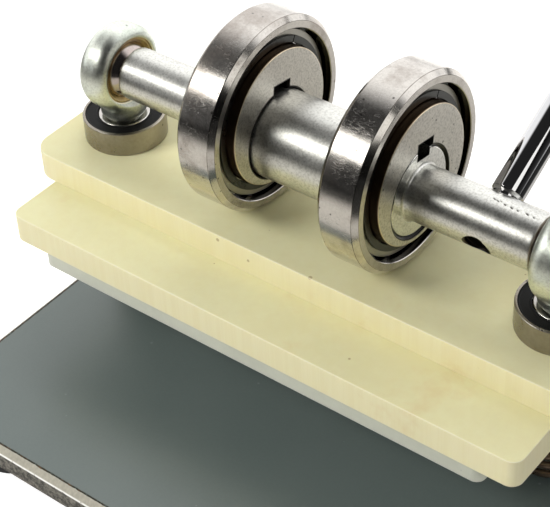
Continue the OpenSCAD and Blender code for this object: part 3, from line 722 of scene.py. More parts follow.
class PRESS_OT_base(bpy.types.Operator):
    """Makes the painted base plate with its ground chamfer"""
    bl_idname = "belt_press.base"
    bl_label = "Base plate"

    def execute(self, context):
        size = extent("base_plate")
        side = rounded([(0.8 * MM, BASE_LOW, 0), (0, BASE_LOW, 0.4 * MM),
                        (0, BASE_TOP - BASE_BEVEL, 0.12 * MM), (BASE_BEVEL, BASE_TOP, 0.12 * MM),
                        (4 * MM, BASE_TOP, 0)], closed=False, steps=3)
        hole = edge_profile(BASE_LOW, BASE_TOP, 0.3 * MM, 0.3 * MM)
        lines = [round_rectangle(size.x, size.y, BASE_CORNER)] + shank_holes(SHANK_R + FIXED_GAP, 64)
        piece("painted_base_plate", [slab(lines, [side, hole, hole])], "frame",
              base_paint(context.scene.press_colours), "base_plate", 20)
        return {"FINISHED"}


def base_paint(tones):
    """Grey-green paint on top, a bare ground chamfer and mottled raw sides, told apart by place."""
    material, t, surface = new_material("base_paint")
    size = extent("base_plate")
    co = t.coordinates()
    x, y, z = t.split(co)
    cloud = t.effect("mottle", co, Scale=14.0, Fine_Scale=900.0, Fine_Share=0.3)
    dust = t.effect("specks", co, Scale=230.0, Size=0.16, Share=0.04)
    ragged = t.noise(co, 380.0, 4.0, 0.7)
    mill = t.noise(co, 320.0, 5.0, 0.7)
    grind = t.noise(t.scaled(co, (900, 900, 60)))

    # Where the paint ends, where its rim is, and where the chamfer and the painted highlight along its
    # lower edge are
    inset = t.math("MINIMUM", t.minus(size.x / 2, t.absolute(x)), t.minus(size.y / 2, t.absolute(y)))
    reach = t.plus(inset, t.times(t.minus(ragged, 0.5), 0.9 * MM))
    painted = t.ramp(reach, BASE_BEVEL, BASE_BEVEL + 0.25 * MM)
    rim = t.times(painted, t.ramp(reach, BASE_BEVEL + 1.2 * MM, BASE_BEVEL + 0.7 * MM))
    bevel_z = BASE_TOP - BASE_BEVEL
    chamfer = t.math("GREATER_THAN", z, bevel_z - 0.02 * MM)
    lower_edge = t.ramp(t.absolute(t.minus(z, bevel_z)), 0.5 * MM, 0.2 * MM)
    # Painted highlight: a near white line along the chamfer's lower edge
    painted_highlight = t.times(lower_edge, t.ramp(ragged, 0.3, 0.42))

    paint = t.mix(t.ramp(cloud, 0.3, 0.7), tones.paint, tones.paint_dark)
    paint = t.mix(t.times(dust, 0.22), paint, (0.42, 0.45, 0.44))
    rust = t.mix(t.ramp(ragged, 0.5, 0.66), (0.035, 0.033, 0.025), (0.13, 0.07, 0.035))
    paint = t.mix(t.times(rim, t.ramp(ragged, 0.30, 0.45)), paint, rust)
    ground = t.mix(grind, (0.38, 0.36, 0.30), (0.62, 0.59, 0.50))
    raw = t.mix(t.ramp(mill, 0.4, 0.62), (0.07, 0.068, 0.062), (0.34, 0.325, 0.29))
    bare = t.mix(painted_highlight, t.mix(chamfer, raw, ground), (0.97, 0.96, 0.92))
    metallic = t.times(t.minus(1.0, painted), t.minus(0.85, painted_highlight, clamp=True))
    rough = t.between(chamfer, t.ramp(mill, 0.3, 0.7, 0.35, 0.6), 0.42)
    height = t.between(painted, t.between(chamfer, mill, t.times(grind, 0.3)), t.times(cloud, 0.25))
    t.fill(surface, Base_Color=t.mix(painted, bare, paint), Metallic=metallic,
           Roughness=t.between(painted, rough, 0.36), Specular_IOR_Level=t.between(rim, 0.95, 0.1),
           Normal=t.bump(height, 0.5, 0.12 * MM))
    return material


class PRESS_OT_feet(bpy.types.Operator):
    """Makes the four rubber feet and finishes their screws"""
    bl_idname = "belt_press.feet"
    bl_label = "Feet"

    def execute(self, context):
        size = extent("rubber_feet")
        x, y = size.x / 2 - FOOT_R, size.y / 2 - FOOT_R
        top = BASE_LOW - STAND_Z
        profile = rounded([(FOOT_HOLE_R, FOOT_HEAD_Z, 0.1 * MM), (FOOT_HEAD_R, FOOT_HEAD_Z, 0.2 * MM),
                           (FOOT_HEAD_R, 0, 0.4 * MM), (FOOT_R, 0, 0.8 * MM),
                           (FOOT_TOP_R, top, 0.5 * MM), (FOOT_HOLE_R, top, 0.1 * MM)])
        shells = [turned(profile, (sx * x, sy * y, STAND_Z), UPRIGHT, 80)
                  for sx in (-1, 1) for sy in (-1, 1)]
        rubber = moulded_rubber("foot_rubber", (0.022, 0.022, 0.023), (0.034, 0.034, 0.035), 0.62)
        piece("rubber_foot_set", shells, "frame", rubber, "rubber_feet")
        dress_node("foot_screws", screw_metal())
        return {"FINISHED"}


def screw_metal():
    """The zinc of nuts and screws, made once."""
    return bpy.data.materials.get("zinc_steel") or metal(
        "zinc_steel", (0.60, 0.61, 0.58), (0.72, 0.72, 0.66), 0.32, 0.07, dark_specks=0.1, wear=0.4)


def outside_head(p):
    """How far local points are outside a rod end: the smooth union of its head with its neck.

    The head is a disc with elliptic corners. The neck is a bar with a collar that rounds into it.
    """
    corner, corner_x, soft = 3.7 * MM, 5.2 * MM, 3.0 * MM
    neck_r, collar, neck_top, neck_low = 8.7 * MM, 0.9 * MM, -13 * MM, -NECK_DROP - 4 * MM
    x, y, z = p[..., 0], p[..., 1], p[..., 2]
    from_rim = np.hypot(y, z) - (HEAD_R - corner)
    from_side = (np.abs(x) - HEAD_W / 2) * (corner / corner_x) + corner
    head = np.hypot(np.maximum(from_rim, 0), np.maximum(from_side, 0)) - corner
    head += np.minimum(np.maximum(from_rim, from_side), 0)
    rise = np.clip((z + NECK_DROP) / MM, 0, 1)
    bar_r = np.where(rise > 0, neck_r + collar * np.sqrt(rise * (2 - rise)), SHANK_R)
    neck = np.maximum(np.hypot(x, y) - bar_r, z - neck_top)
    share = np.clip(0.5 + 0.5 * (neck - head) / soft, 0, 1)
    both = neck * (1 - share) + head * share - soft * share * (1 - share)
    return np.maximum(both, neck_low - z)


def head_surface():
    """A rod end's head and neck as one smooth skin round the bore, in local (x, y, z) about its middle.

    From each point of a circle in the head, rays leave in the plane of the shaft's direction and the
    radius. Each runs out to where the smooth union of head and neck ends, found by halving.
    """
    start_r, longest, lip = 15.4 * MM, 16 * MM, 0.45 * MM
    turns, fans, halvings = 220, 41, 30
    a = full_turn(turns) - pi / 2
    fan = np.linspace(-pi / 2, pi / 2, fans)
    sideways = np.array([1, 0, 0])
    radial = np.stack([0 * a, np.cos(a), np.sin(a)], -1)
    begin = start_r * radial[:, None, :]
    ray = np.cos(fan)[None, :, None] * radial[:, None, :] + np.sin(fan)[None, :, None] * sideways
    near, far = np.zeros(ray.shape[:2]), np.full(ray.shape[:2], longest)
    for _ in range(halvings):
        half = (near + far) / 2
        out = outside_head(begin + half[..., None] * ray) > 0
        near, far = np.where(out, near, half), np.where(out, half, far)
    rows = [begin + near[..., None] * ray]
    for share in (1.0, 0.3, 0.0):
        ring = (HEAD_BORE_R + lip * share) * radial + (HEAD_W / 2 - lip + lip * share) * sideways
        rows = [(ring * [-1, 1, 1])[:, None]] + rows + [ring[:, None]]
    grid = np.concatenate(rows, 1)
    edge = np.zeros(grid.shape[1])
    # The lips' rows are marked as edges: their cream is partly a worn rim and partly a painted
    # highlight
    edge[[1, -2]] = 1
    return grid, edge


class PRESS_OT_rod_ends(bpy.types.Operator):
    """Makes the rod ends with their threaded shanks, and the lock nuts below the base"""
    bl_idname = "belt_press.rod_ends"
    bl_label = "Rod ends and nuts"

    def execute(self, context):
        sizes, tones = context.scene.press_sizes, context.scene.press_colours
        grid, edge = head_surface()
        rod = threaded_rod(SHANK_R, sizes.thread_depth, SHANK_PITCH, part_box("rod_end_right")[0].z,
                           SHAFT_Z - NECK_DROP - 1.5 * MM, 1.2 * MM, 5 * MM)
        # The cream edge tone round the bores is partly a worn rim and partly a painted highlight
        zinc = metal("rod_end_zinc", tones.zinc, (0.86, 0.89, 0.80), 0.36, 0.06, mottle=1.8,
                     scale=200.0, dark_specks=0.05, scratches=0.4, wear=1.1,
                     edge_tone=(0.95, 0.90, 0.70), stain=((0.30, 0.36, 0.28), 0.32), grain=0.22)
        nut_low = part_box("lock_nut_right")[0].z
        for name, s in SIDES:
            head = sleeve(grid, (s * ROD_X, 0, SHAFT_Z), UPRIGHT, True, np.tile(edge, len(grid)))
            shank = sleeve(rod, (s * ROD_X, 0, 0), UPRIGHT)
            piece("zinc_rod_end_" + name, [head, shank], "frame", zinc,
                  "rod_end_" + name, 55, weighted=False)
            piece("hexagon_nut_" + name, [hexagon_nut((s * ROD_X, 0, nut_low))], "frame",
                  screw_metal(), "lock_nut_" + name, 25)
        return {"FINISHED"}


def hexagon_nut(origin):
    """A nut: radius = the smaller of a hexagon's and a cone's at that height, round a plain bore."""
    size, steps, lead = extent("lock_nut_right"), 144, 0.6 * MM
    rim, cone_start, cone_slope = 0.16, 0.96, 1.7
    h, flat = size.z, min(size.x, size.y) / 2
    hexagon = flat / np.cos((full_turn(steps) + pi / 6) % (pi / 3) - pi / 6)
    z = np.concatenate([np.linspace(0, rim, 7), np.linspace(1 - rim, 1, 7)]) * h
    cone = flat * cone_start + np.minimum(z, h - z) * cone_slope
    outer = np.minimum(hexagon, cone[:, None])
    bore = np.array([lead, 0, 0, lead]) + SHANK_R + FIXED_GAP
    r = np.concatenate([outer, np.repeat(bore[:, None], steps, 1)])
    heights = np.concatenate([z, [h, h - lead, lead, 0]])[:, None]
    return sleeve(around(r, heights, steps), origin, UPRIGHT, True)


class PRESS_OT_joints(bpy.types.Operator):
    """Makes the brass races and the balls that turn in them"""
    bl_idname = "belt_press.joints"
    bl_label = "Races and balls"

    def execute(self, context):
        tones = context.scene.press_colours
        brass = metal("brass_race", tones.brass, (0.30, 0.20, 0.09), 0.34, 0.06, marks=0.4,
                      middle_at=SHAFT_AXIS, dark_specks=0.1, wear=0.8, edge_tone=(0.72, 0.66, 0.44))
        steel = metal("ball_steel", (0.50, 0.44, 0.41), (0.40, 0.34, 0.31), 0.16, 0.04, marks=0.15,
                      middle_at=SHAFT_AXIS, mottle=0.1, dark_specks=0.08)
        race, ball = race_profile(), ball_profile()
        for name, s in SIDES:
            origin = (s * ROD_X, 0, SHAFT_Z)
            piece("brass_race_" + name, [turned(race, origin, ALONG_X)], "frame", brass,
                  "race_" + name)
            piece("polished_ball_" + name, [turned(ball, origin, ALONG_X)], "shaft",
                  steel, "rod_ball_" + name)
        return {"FINISHED"}


def bulge(r, half, steps):
    """A ball's profile between two flats: radius sqrt(r squared - x squared)."""
    x = np.linspace(-half, half, steps)
    return np.stack([np.sqrt(r ** 2 - x ** 2), x, 0 * x], 1)


def race_profile():
    """A race: a hollow that takes the ball, lips beside it and a plain outside."""
    outer, half = extent("race_right").z / 2, extent("race_right").x / 2
    hollow = bulge(BALL_R + 0.1 * MM, half - 1.1 * MM, 25)
    lip = rounded([(outer, -half, 0.2 * MM), (outer - 0.7 * MM, -half, 0.2 * MM), (*hollow[0, :2], 0)],
                  closed=False)
    return np.concatenate([lip[:-1], hollow, (lip * [1, -1, 1])[::-1][1:]])


def ball_profile():
    """A ball with two flats and a bore for the shaft's spigot."""
    flat, bore = BALL_W / 2, SPIGOT_R + FIXED_GAP
    rim = sqrt(BALL_R ** 2 - flat ** 2) - 0.3 * MM
    hole = rounded(mirrored([(bore, flat, 0.3 * MM), (rim, flat, 0)]), closed=False)
    return np.concatenate([bulge(BALL_R, flat, 61), hole[::-1]])


class PRESS_OT_springs(bpy.types.Operator):
    """Winds the two return springs, with closed ends and cut wire"""
    bl_idname = "belt_press.springs"
    bl_label = "Return springs"

    def execute(self, context):
        steel = metal("spring_steel", (0.22, 0.15, 0.11), (0.34, 0.25, 0.19), 0.3, 0.08, mottle=0.8,
                      scale=120.0, dark_specks=0.2, scratches=0.5)
        wire = wound_wire()
        for name, s in SIDES:
            obj = piece("wound_spring_" + name, [sleeve(wire, (s * ROD_X, 0, 0), UPRIGHT)], "frame",
                        steel, "spring_" + name, 60, weighted=False)
            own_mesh(obj)
        return {"FINISHED"}


def wound_wire():
    """A spring's wire: circles of WIRE_R along (R cos a, R sin a, height of a), with closed-in ends.

    The height rises by CLOSED_RISE in the first and the last curl, and evenly in the open ones between.
    The wire's end rows shrink to a point and are pushed out along the wire, which makes its cut faces.
    """
    steps, ring = 72, 18
    open_rise = (SPRING_HIGH - SPRING_LOW - 2 * CLOSED_RISE) / OPEN_CURLS
    t = np.linspace(0, OPEN_CURLS + 2, (OPEN_CURLS + 2) * steps + 1)
    height = (SPRING_LOW + CLOSED_RISE * np.minimum(t, 1) + open_rise * np.clip(t - 1, 0, OPEN_CURLS)
              + CLOSED_RISE * np.maximum(0, t - 1 - OPEN_CURLS))
    out = np.stack([np.cos(2 * pi * t), np.sin(2 * pi * t), 0 * t], 1)
    line = SPRING_R * out + height[:, None] * [0, 0, 1]
    ahead = unit(np.gradient(line, axis=0))
    up = unit(np.cross(out, ahead))
    at = np.clip(np.arange(-2, len(t) + 2), 0, len(t) - 1)
    size, push = np.full(len(at), WIRE_R), np.zeros(len(at))
    size[:2], size[-2:] = (0, 0.82 * WIRE_R), (0.82 * WIRE_R, 0)
    push[:3] = -WIRE_R, -WIRE_R, 0.15 * MM - WIRE_R
    push[-3:] = -push[2::-1]
    b = full_turn(ring)[:, None]
    section = np.cos(b) * out[at, None] + np.sin(b) * up[at, None]
    return (line[at] + push[:, None] * ahead[at])[:, None] + size[:, None, None] * section


class PRESS_OT_shaft(bpy.types.Operator):
    """Turns the stepped shaft, cuts its keyways and lever hole, and finishes the keys"""
    bl_idname = "belt_press.shaft"
    bl_label = "Shaft"

    def execute(self, context):
        points, faces, edge = turned(shaft_profile(), (0, 0, 0), UPRIGHT, 240, closed=False)
        points = dented(points, context.scene.press_sizes.dent_depth)
        obj = make_object("turned_shaft", [(set_down(points, SHAFT_AXIS, ALONG_X), faces, edge)])
        carve(obj, shaft_cutters())
        # The lever hole and the punched dents are painted dark as shade by the shade colour below
        steel = metal("shaft_steel", context.scene.press_colours.shaft, (0.80, 0.795, 0.75), 0.33, 0.04,
                      marks=0.6, marks_scale=1400.0, middle_at=SHAFT_AXIS, mottle=1.3, scale=260.0,
                      dark_specks=0.01, scratches=0.0, wear=0.1, grain=0.35,
                      shade=(ARM_R - 0.1 * MM, 1.0, SHOULDER_X - MM, (0.07, 0.06, 0.05)),
                      ground=(ARM_R + 1.2 * MM, MID_R - 0.2 * MM, 0.14))
        settle(obj, "shaft", steel, "cam_shaft")
        # The keys are painted nearly black as shade in the keyway notches
        key = metal("key_painted_shade", (0.012, 0.011, 0.01), (0.02, 0.018, 0.016), 0.6, 0.08)
        for name, _ in SIDES:
            dress_node("shaft_key_" + name, key)
        return {"FINISHED"}


def shaft_profile():
    """The stepped shaft's profile of (radius, place along it, edge), in steps that the dents need."""
    half = rounded([(MID_R, 0, 0), (MID_R, MID_X, 0.9 * MM), (ARM_R, MID_X, 1.1 * MM),
                    (ARM_R, SHOULDER_X, 0.7 * MM), (SPIGOT_R, SHOULDER_X, 0.2 * MM),
                    (SPIGOT_R, SHAFT_END, 0.8 * MM), (0, SHAFT_END, 0)], closed=False)
    step = 0.5 * MM
    fine = []
    for p, q in zip(half[:-1], half[1:]):
        n = max(1, int(abs(q[1] - p[1]) / step))
        fine.append(p + (q - p) * (np.arange(n) / n)[:, None])
    half = np.concatenate(fine + [half[-1:]])
    return np.concatenate([(half * [1, -1, 1])[:0:-1], half])


# Punched dents in the right arm: millimetres along the shaft, degrees round it, and size in millimetres
DENTS = ((74.6, 91, 0.7), (76.4, 93, 0.6), (77.2, 90, 0.5), (79.4, 95, 0.7),
         (82.2, 96, 0.8), (84.8, 97, 0.6), (88.6, 96, 0.8), (91.4, 98, 0.5))


def dented(points, depth):
    """Sinks slanted dents into the shaft, each a bell: depth * exp(-(distance / size) ** 2)."""
    a = np.arctan2(points[:, 1], points[:, 0])
    r = np.hypot(points[:, 0], points[:, 1])
    sink = 0 * r
    ahead, aside, length, width = 0.9, 0.44, 1.5, 0.6
    for x, turn, size in DENTS:
        u, v = points[:, 2] - x * MM, ARM_R * (a - radians(turn))
        away = np.hypot((ahead * u + aside * v) / length, (ahead * v - aside * u) / width)
        sink += depth * np.exp(-(away / (size * MM)) ** 2) * (abs(r - ARM_R) < 0.01 * MM)
    scale = 1 - np.where(r > 1e-6, sink / np.maximum(r, 1e-6), 0)
    return points * np.stack([scale, scale, np.ones_like(scale)], 1)


def shaft_cutters():
    """Two keyways on the rings' thick side, and the threaded hole that takes the lever."""
    cutters = []
    for name, s in SIDES:
        low, high = sorted((s * KEYWAY_FROM_X, s * KEYWAY_TO_X))
        shell = box_shell((low, -KEY_W / 2, MID_R - KEYWAY_DEPTH), (high, KEY_W / 2, MID_R + MM),
                          SHAFT_AXIS, ALONG_KEY)
        cutters.append(make_object("keyway_cut_" + name, [shell]))
    rows, steps, depth, lead = 130, 56, 0.7 * MM, 0.9 * MM
    h = np.linspace(-LEVER_HOLE_HALF, LEVER_HOLE_HALF, rows)[:, None]
    wave = thread_wave(h, full_turn(steps), LEVER_PITCH)
    r = STUD_R + FIXED_GAP - depth * np.clip(wave * 1.4 - 0.2, 0, 1)
    mouth = lead - ARM_R - h
    r = np.maximum(r, STUD_R - 0.2 * MM + np.maximum(mouth, 0))
    shell = sleeve(capped(around(r, h, steps)), (BAR_X, 0, SHAFT_Z), ALONG_LEVER)
    return cutters + [make_object("lever_hole_cut", [shell])]


def keyed_bore(d):
    """The bore's line with its keyway, moved d into the ring: a circle with a square notch."""
    r, half, top = BORE_R + d, KEY_W / 2 + d, KEY_TOP + d
    gap = asin(half / r)
    arc = on_circle(r, np.linspace(gap, 2 * pi - gap, 150) + ECC_ANGLE)
    key = np.array([cos(ECC_ANGLE), sin(ECC_ANGLE)])
    across = np.array([-key[1], key[0]]) * half
    foot = r * cos(gap)
    s = np.linspace(0, 1, 6)[:, None]
    wall = key * (foot + (top - foot) * s)
    roof = key * top - across + 2 * across * s
    return np.concatenate([arc, (wall - across)[1:], roof[1:-1], (wall + across)[::-1][:-1]])


class PRESS_OT_discs(bpy.types.Operator):
    """Makes the eccentric rings with their ribs, raceways and keyed bores"""
    bl_idname = "belt_press.discs"
    bl_label = "Eccentric rings"

    def execute(self, context):
        sink, lead = RIB_R - RACE_R, 0.8 * MM
        outer = rounded(mirrored([(sink, RIB_IN_X, 0.15 * MM), (0, RIB_IN_X, 0.15 * MM),
                                  (0, RIB_X, 0.55 * MM), (2 * MM, RIB_X, 0)]), closed=False, steps=4)
        bore = rounded(mirrored([(0, RIB_X - lead, 0.12 * MM), (lead, RIB_X, 0.12 * MM),
                                 (lead + 0.6 * MM, RIB_X, 0)]), closed=False, steps=2)
        # The bore's wall and lead are painted black as shade in the gap round the shaft
        bore[:, 2] = np.where(bore[:, 0] < MM, -1.0, 0.0)
        # The brown on the ribs' rims is a painted reflection of the dark cage; the cream edge tone is
        # partly wear and partly a painted glint
        steel = metal("disc_steel", (0.64, 0.615, 0.56), (0.73, 0.70, 0.64), 0.36, 0.05, marks=0.7,
                      marks_scale=1800.0, middle_at=RING_AXIS, mottle=1.2, scale=260.0, dark_specks=0.2,
                      scratches=0.35, wear=0.9, edge_tone=(0.80, 0.70, 0.52),
                      shade=(0.0, RIB_R - 0.2 * MM, 1.0, (0.17, 0.11, 0.065)), grain=0.35)
        lines = [circle(RIB_R, RING_MIDDLE.y, RING_MIDDLE.z - SHAFT_Z, 192), keyed_bore]
        for name, _ in SIDES:
            shell = slab(lines, [outer, bore], (RING_X[name], 0, SHAFT_Z), ALONG_X)
            piece("keyed_disc_" + name, [shell], "shaft", steel,
                  "eccentric_ring_" + name, 28)
        return {"FINISHED"}


def ring_at(side):
    """The middle of an eccentric bearing's outer ring."""
    return np.array([RING_X[side], RING_MIDDLE.y, RING_MIDDLE.z])


class PRESS_OT_rings(bpy.types.Operator):
    """Turns the outer rings of the eccentric bearings"""
    bl_idname = "belt_press.rings"
    bl_label = "Outer rings"

    def execute(self, context):
        half, chamfer, lead = RING_W / 2, 2 * MM, 0.4 * MM
        profile = rounded(mirrored([
            (RING_R, half - chamfer, 0.5 * MM), (RING_R - chamfer, half, 0.3 * MM),
            (RING_BORE_R + lead, half, 0.15 * MM), (RING_BORE_R, half - lead, 0.12 * MM)]))
        # The bores are painted nearly black as shade and grease inside the bearings; the rounded edges
        # take a thin dark line
        steel = metal("bearing_steel", context.scene.press_colours.steel, (0.64, 0.61, 0.57), 0.18,
                      0.04, marks=0.35, marks_scale=700.0, middle_at=RING_AXIS, mottle=0.2, scale=70.0,
                      dark_specks=0.14, scratches=0.45, wear=0.5, edge_tone=(0.10, 0.075, 0.055),
                      stain=((0.20, 0.15, 0.12), 0.45), grain=0.12,
                      ground=(RING_R - chamfer + 0.1 * MM, RING_R - 0.1 * MM, 0.16),
                      shade=(RING_BORE_R + 0.25 * MM, 1.0, 1.0, (0.035, 0.03, 0.025)))
        for name, _ in SIDES:
            piece("bearing_ring_" + name, [turned(profile, ring_at(name), ALONG_X, 224)],
                  "outer_ring_" + name, steel, "outer_ring_" + name)
        return {"FINISHED"}


def slit_ring(d):
    """A ring's line, cut open at the slit and moved d inwards: out on one arc, back on the other."""
    arcs = []
    for r in (SPLIT_R - d, CAGE_IN_R + d):
        skip = asin((SLIT_W / 2 + d) / r)
        arcs.append(on_circle(r, SLIT_TURN + skip + (2 * pi - 2 * skip) * np.linspace(0, 1, 181)))
    return np.concatenate([arcs[0], arcs[1][::-1]])


class PRESS_OT_cages(bpy.types.Operator):
    """Makes the roller cages with the split rings on their sides, and finishes the rollers"""
    bl_idname = "belt_press.cages"
    bl_label = "Cages and rollers"

    def execute(self, context):
        wall = edge_profile(-CAGE_X, CAGE_X, 0.2 * MM, 0.2 * MM)
        thin = edge_profile(CAGE_X, CAGE_X + SPLIT_T, 0.05 * MM, 0.16 * MM)
        # The cage's round faces and the split rings' outer rims are painted dark as shade between the
        # rings
        cage = metal("cage_steel", (0.43, 0.42, 0.38), (0.50, 0.48, 0.43), 0.34, 0.06, marks=0.5,
                     middle_at=RING_AXIS, scale=80.0, mottle=0.5, dark_specks=0.1, scratches=0.5,
                     shade=(CAGE_IN_R + 0.1 * MM, CAGE_OUT_R - 0.25 * MM, 1.0, (0.03, 0.026, 0.022)),
                     wear=0.3)
        blued = metal("split_ring_steel", (0.07, 0.072, 0.07), (0.10, 0.103, 0.10), 0.32, 0.08,
                      marks=0.4, middle_at=RING_AXIS, scale=80.0, mottle=0.5, dark_specks=0.1,
                      scratches=0.5, wear=0.2, edge_tone=(0.16, 0.14, 0.11),
                      shade=(0.0, SPLIT_R - 0.12 * MM, 1.0, (0.008, 0.008, 0.008)))
        roller = metal("roller_steel", (0.6, 0.59, 0.58), (0.68, 0.66, 0.65), 0.12, 0.03)
        lines = [circle(CAGE_OUT_R, n=192), circle(CAGE_IN_R, n=192, inwards=-1)]
        for name, _ in SIDES:
            origin = ring_at(name)
            obj = make_object("pocketed_cage_" + name, [slab(lines, [wall] * 2, origin, ALONG_X)])
            carve(obj, [make_object("pocket_cut_" + name, pocket_shells(origin))])
            settle(obj, "roller_set_" + name, cage, "roller_cage_" + name)
            pair = [slab([slit_ring], [thin * [1, side, 1]], origin, ALONG_X) for side in (-1, 1)]
            piece("blued_split_rings_" + name, pair, "roller_set_" + name, blued,
                  "split_rings_" + name)
            dress_node("rollers_" + name, roller)
        return {"FINISHED"}


def pocket_shells(origin):
    """The rollers' pockets, round bars in a circle round the origin, for a cut."""
    r = ROLLER_R + 0.1 * MM
    profile = mirrored([(r, POCKET_L / 2, 0), (0, POCKET_L / 2, 0)])
    places = [ROLLER_RING_R * np.array([0, cos(a), sin(a)]) for a in full_turn(ROLLER_COUNT) + pi / 2]
    return [turned(profile, origin + place, ALONG_X, 32, closed=False) for place in places]


class PRESS_OT_plates(bpy.types.Operator):
    """Makes the two cream nylon plates and finishes the screws between them"""
    bl_idname = "belt_press.plates"
    bl_label = "Nylon plates"

    def execute(self, context):
        edge = context.scene.press_sizes.nylon_edge
        nylon = nylon_material(context.scene.press_colours)
        for name, corner in PLATE_CORNERS:
            node = name + "_plate"
            low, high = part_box(node)
            size = extent(node)
            wall, hole = [edge_profile(low.z, high.z, r, r) for r in (edge, 0.3 * MM)]
            outline = round_rectangle(size.x, size.y, corner, middle(node).x, 13, 60)
            shell = slab([outline] + shank_holes(SHANK_R + MM, 72), [wall, hole, hole])
            piece("nylon_plate_" + name, [shell], "press", nylon, node, 30)
        dress_node("plate_screws", screw_metal())
        return {"FINISHED"}


def nylon_material(tones):
    """Cream nylon: clouded colour, upright cutter marks on the sides, specks, pressed-in stains."""
    material, t, surface = new_material("cream_nylon")
    co = t.coordinates()
    up = t.split(t("NewGeometry", out="Normal"))[2]
    side = t.ramp(t.absolute(up), 0.7, 0.5)
    cloud = t.effect("mottle", co, Scale=22.0, Fine_Scale=260.0, Fine_Share=0.3)
    dirt = t.effect("specks", co, Scale=200.0, Size=0.2, Share=0.06)
    worn = t.effect("wear", co, Scale=200.0, Amount=0.7)
    cutter = t.noise(t.scaled(co, (2100, 2100, 40)), rough=0.7)
    band = t.noise(t.scaled(co, (330, 330, 6)))
    sawn = t.noise(t.scaled(co, (5, 5, 900)))
    top_grain = t.noise(t.scaled(co, (30, 600, 30)), detail=3.0)
    stain = t.ramp(t.noise(co, 18.0, 5.0, 0.65), 0.60, 0.72)

    tone = t.mix(t.ramp(cloud, 0.3, 0.7), tones.nylon, tones.nylon_dark)
    streak = t.ramp(t.plus(t.times(cutter, 0.4), t.times(band, 0.6)), 0.38, 0.62)
    tone = t.mix(side, tone, t.mix(streak, (0.860, 0.790, 0.495), (0.882, 0.820, 0.530)))
    tone = t.mix(t.times(stain, 0.35), tone, (0.70, 0.52, 0.24))
    tone = t.mix(t.times(dirt, 0.65), tone, (0.36, 0.25, 0.10))
    tone = t.mix(t.times(worn, 0.6), tone, (0.95, 0.91, 0.74))
    flat = t.plus(t.times(top_grain, 0.35), t.times(cloud, 0.5))
    rough_side = t.plus(t.times(cutter, 0.8), t.times(sawn, 0.3))
    height = t.minus(t.between(side, flat, rough_side), t.times(dirt, 0.5))
    t.fill(surface, Base_Color=tone, Roughness=t.ramp(cloud, 0.3, 0.7, 0.42, 0.56),
           Subsurface_Weight=0.12, Subsurface_Radius=(0.004, 0.003, 0.0015), Subsurface_Scale=0.6,
           Normal=t.bump(height, 0.45, 0.08 * MM))
    return material


def bitten_rectangle(width, depth, r, x):
    """A round-cornered rectangle's line with a round bite at each end, where a spring goes through.

    At an end, the line follows the arc about the rod end's axis between the points where the arc meets
    the end, moved with the inset like the rest.
    """
    corner_steps = 9

    def line(d):
        whole = round_rectangle(width, depth, r, x, corner_steps, 1)(d)
        bite = PAD_BITE_R + d
        arcs = []
        for s in (1, -1):
            beyond = s * x - ROD_X + width / 2 - d
            opening = atan2(sqrt(bite ** 2 - beyond ** 2), beyond)
            a = np.linspace(opening - 2 * pi, -opening, 61)
            arcs.append(on_circle(s * bite, a, s * ROD_X))
        corners = np.split(whole, 4)
        return np.concatenate([*corners[:2], arcs[1], *corners[2:], arcs[0]])
    return line


class PRESS_OT_pad(bpy.types.Operator):
    """Makes the pale pressing pad with its bites for the springs"""
    bl_idname = "belt_press.pad"
    bl_label = "Pressing pad"

    def execute(self, context):
        low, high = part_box("press_pad")
        size = extent("press_pad")
        side = edge_profile(low.z, high.z, context.scene.press_sizes.pad_edge, 0.3 * MM)
        line = bitten_rectangle(size.x, size.y, PAD_CORNER, middle("press_pad").x)
        piece("pale_press_pad", [slab([line], [side])], "press",
              pad_material(context.scene.press_colours.pad), "press_pad", 40)
        return {"FINISHED"}


def pad_material(pale):
    """Pale, slightly clear plastic with rubbed edges and dust specks."""
    material, t, surface = new_material("white_pad")
    co = t.coordinates()
    cloud = t.effect("mottle", co, Scale=30.0, Fine_Scale=300.0, Fine_Share=0.3)
    dirt = t.effect("specks", co, Scale=260.0, Size=0.2, Share=0.08)
    worn = t.effect("wear", co, Scale=120.0, Amount=0.8)
    tone = t.mix(t.ramp(cloud, 0.3, 0.7), pale, faded(pale, 0.9))
    tone = t.mix(t.times(worn, 0.7), tone, (0.92, 0.93, 0.93))
    tone = t.mix(t.times(dirt, 0.4), tone, (0.3, 0.3, 0.28))
    t.fill(surface, Base_Color=tone, Roughness=t.ramp(cloud, 0.3, 0.7, 0.28, 0.4), Coat_Weight=0.2,
           Subsurface_Weight=0.3, Subsurface_Radius=(0.006, 0.006, 0.006), Subsurface_Scale=0.6,
           Normal=t.bump(cloud, 0.4, 0.06 * MM))
    return material


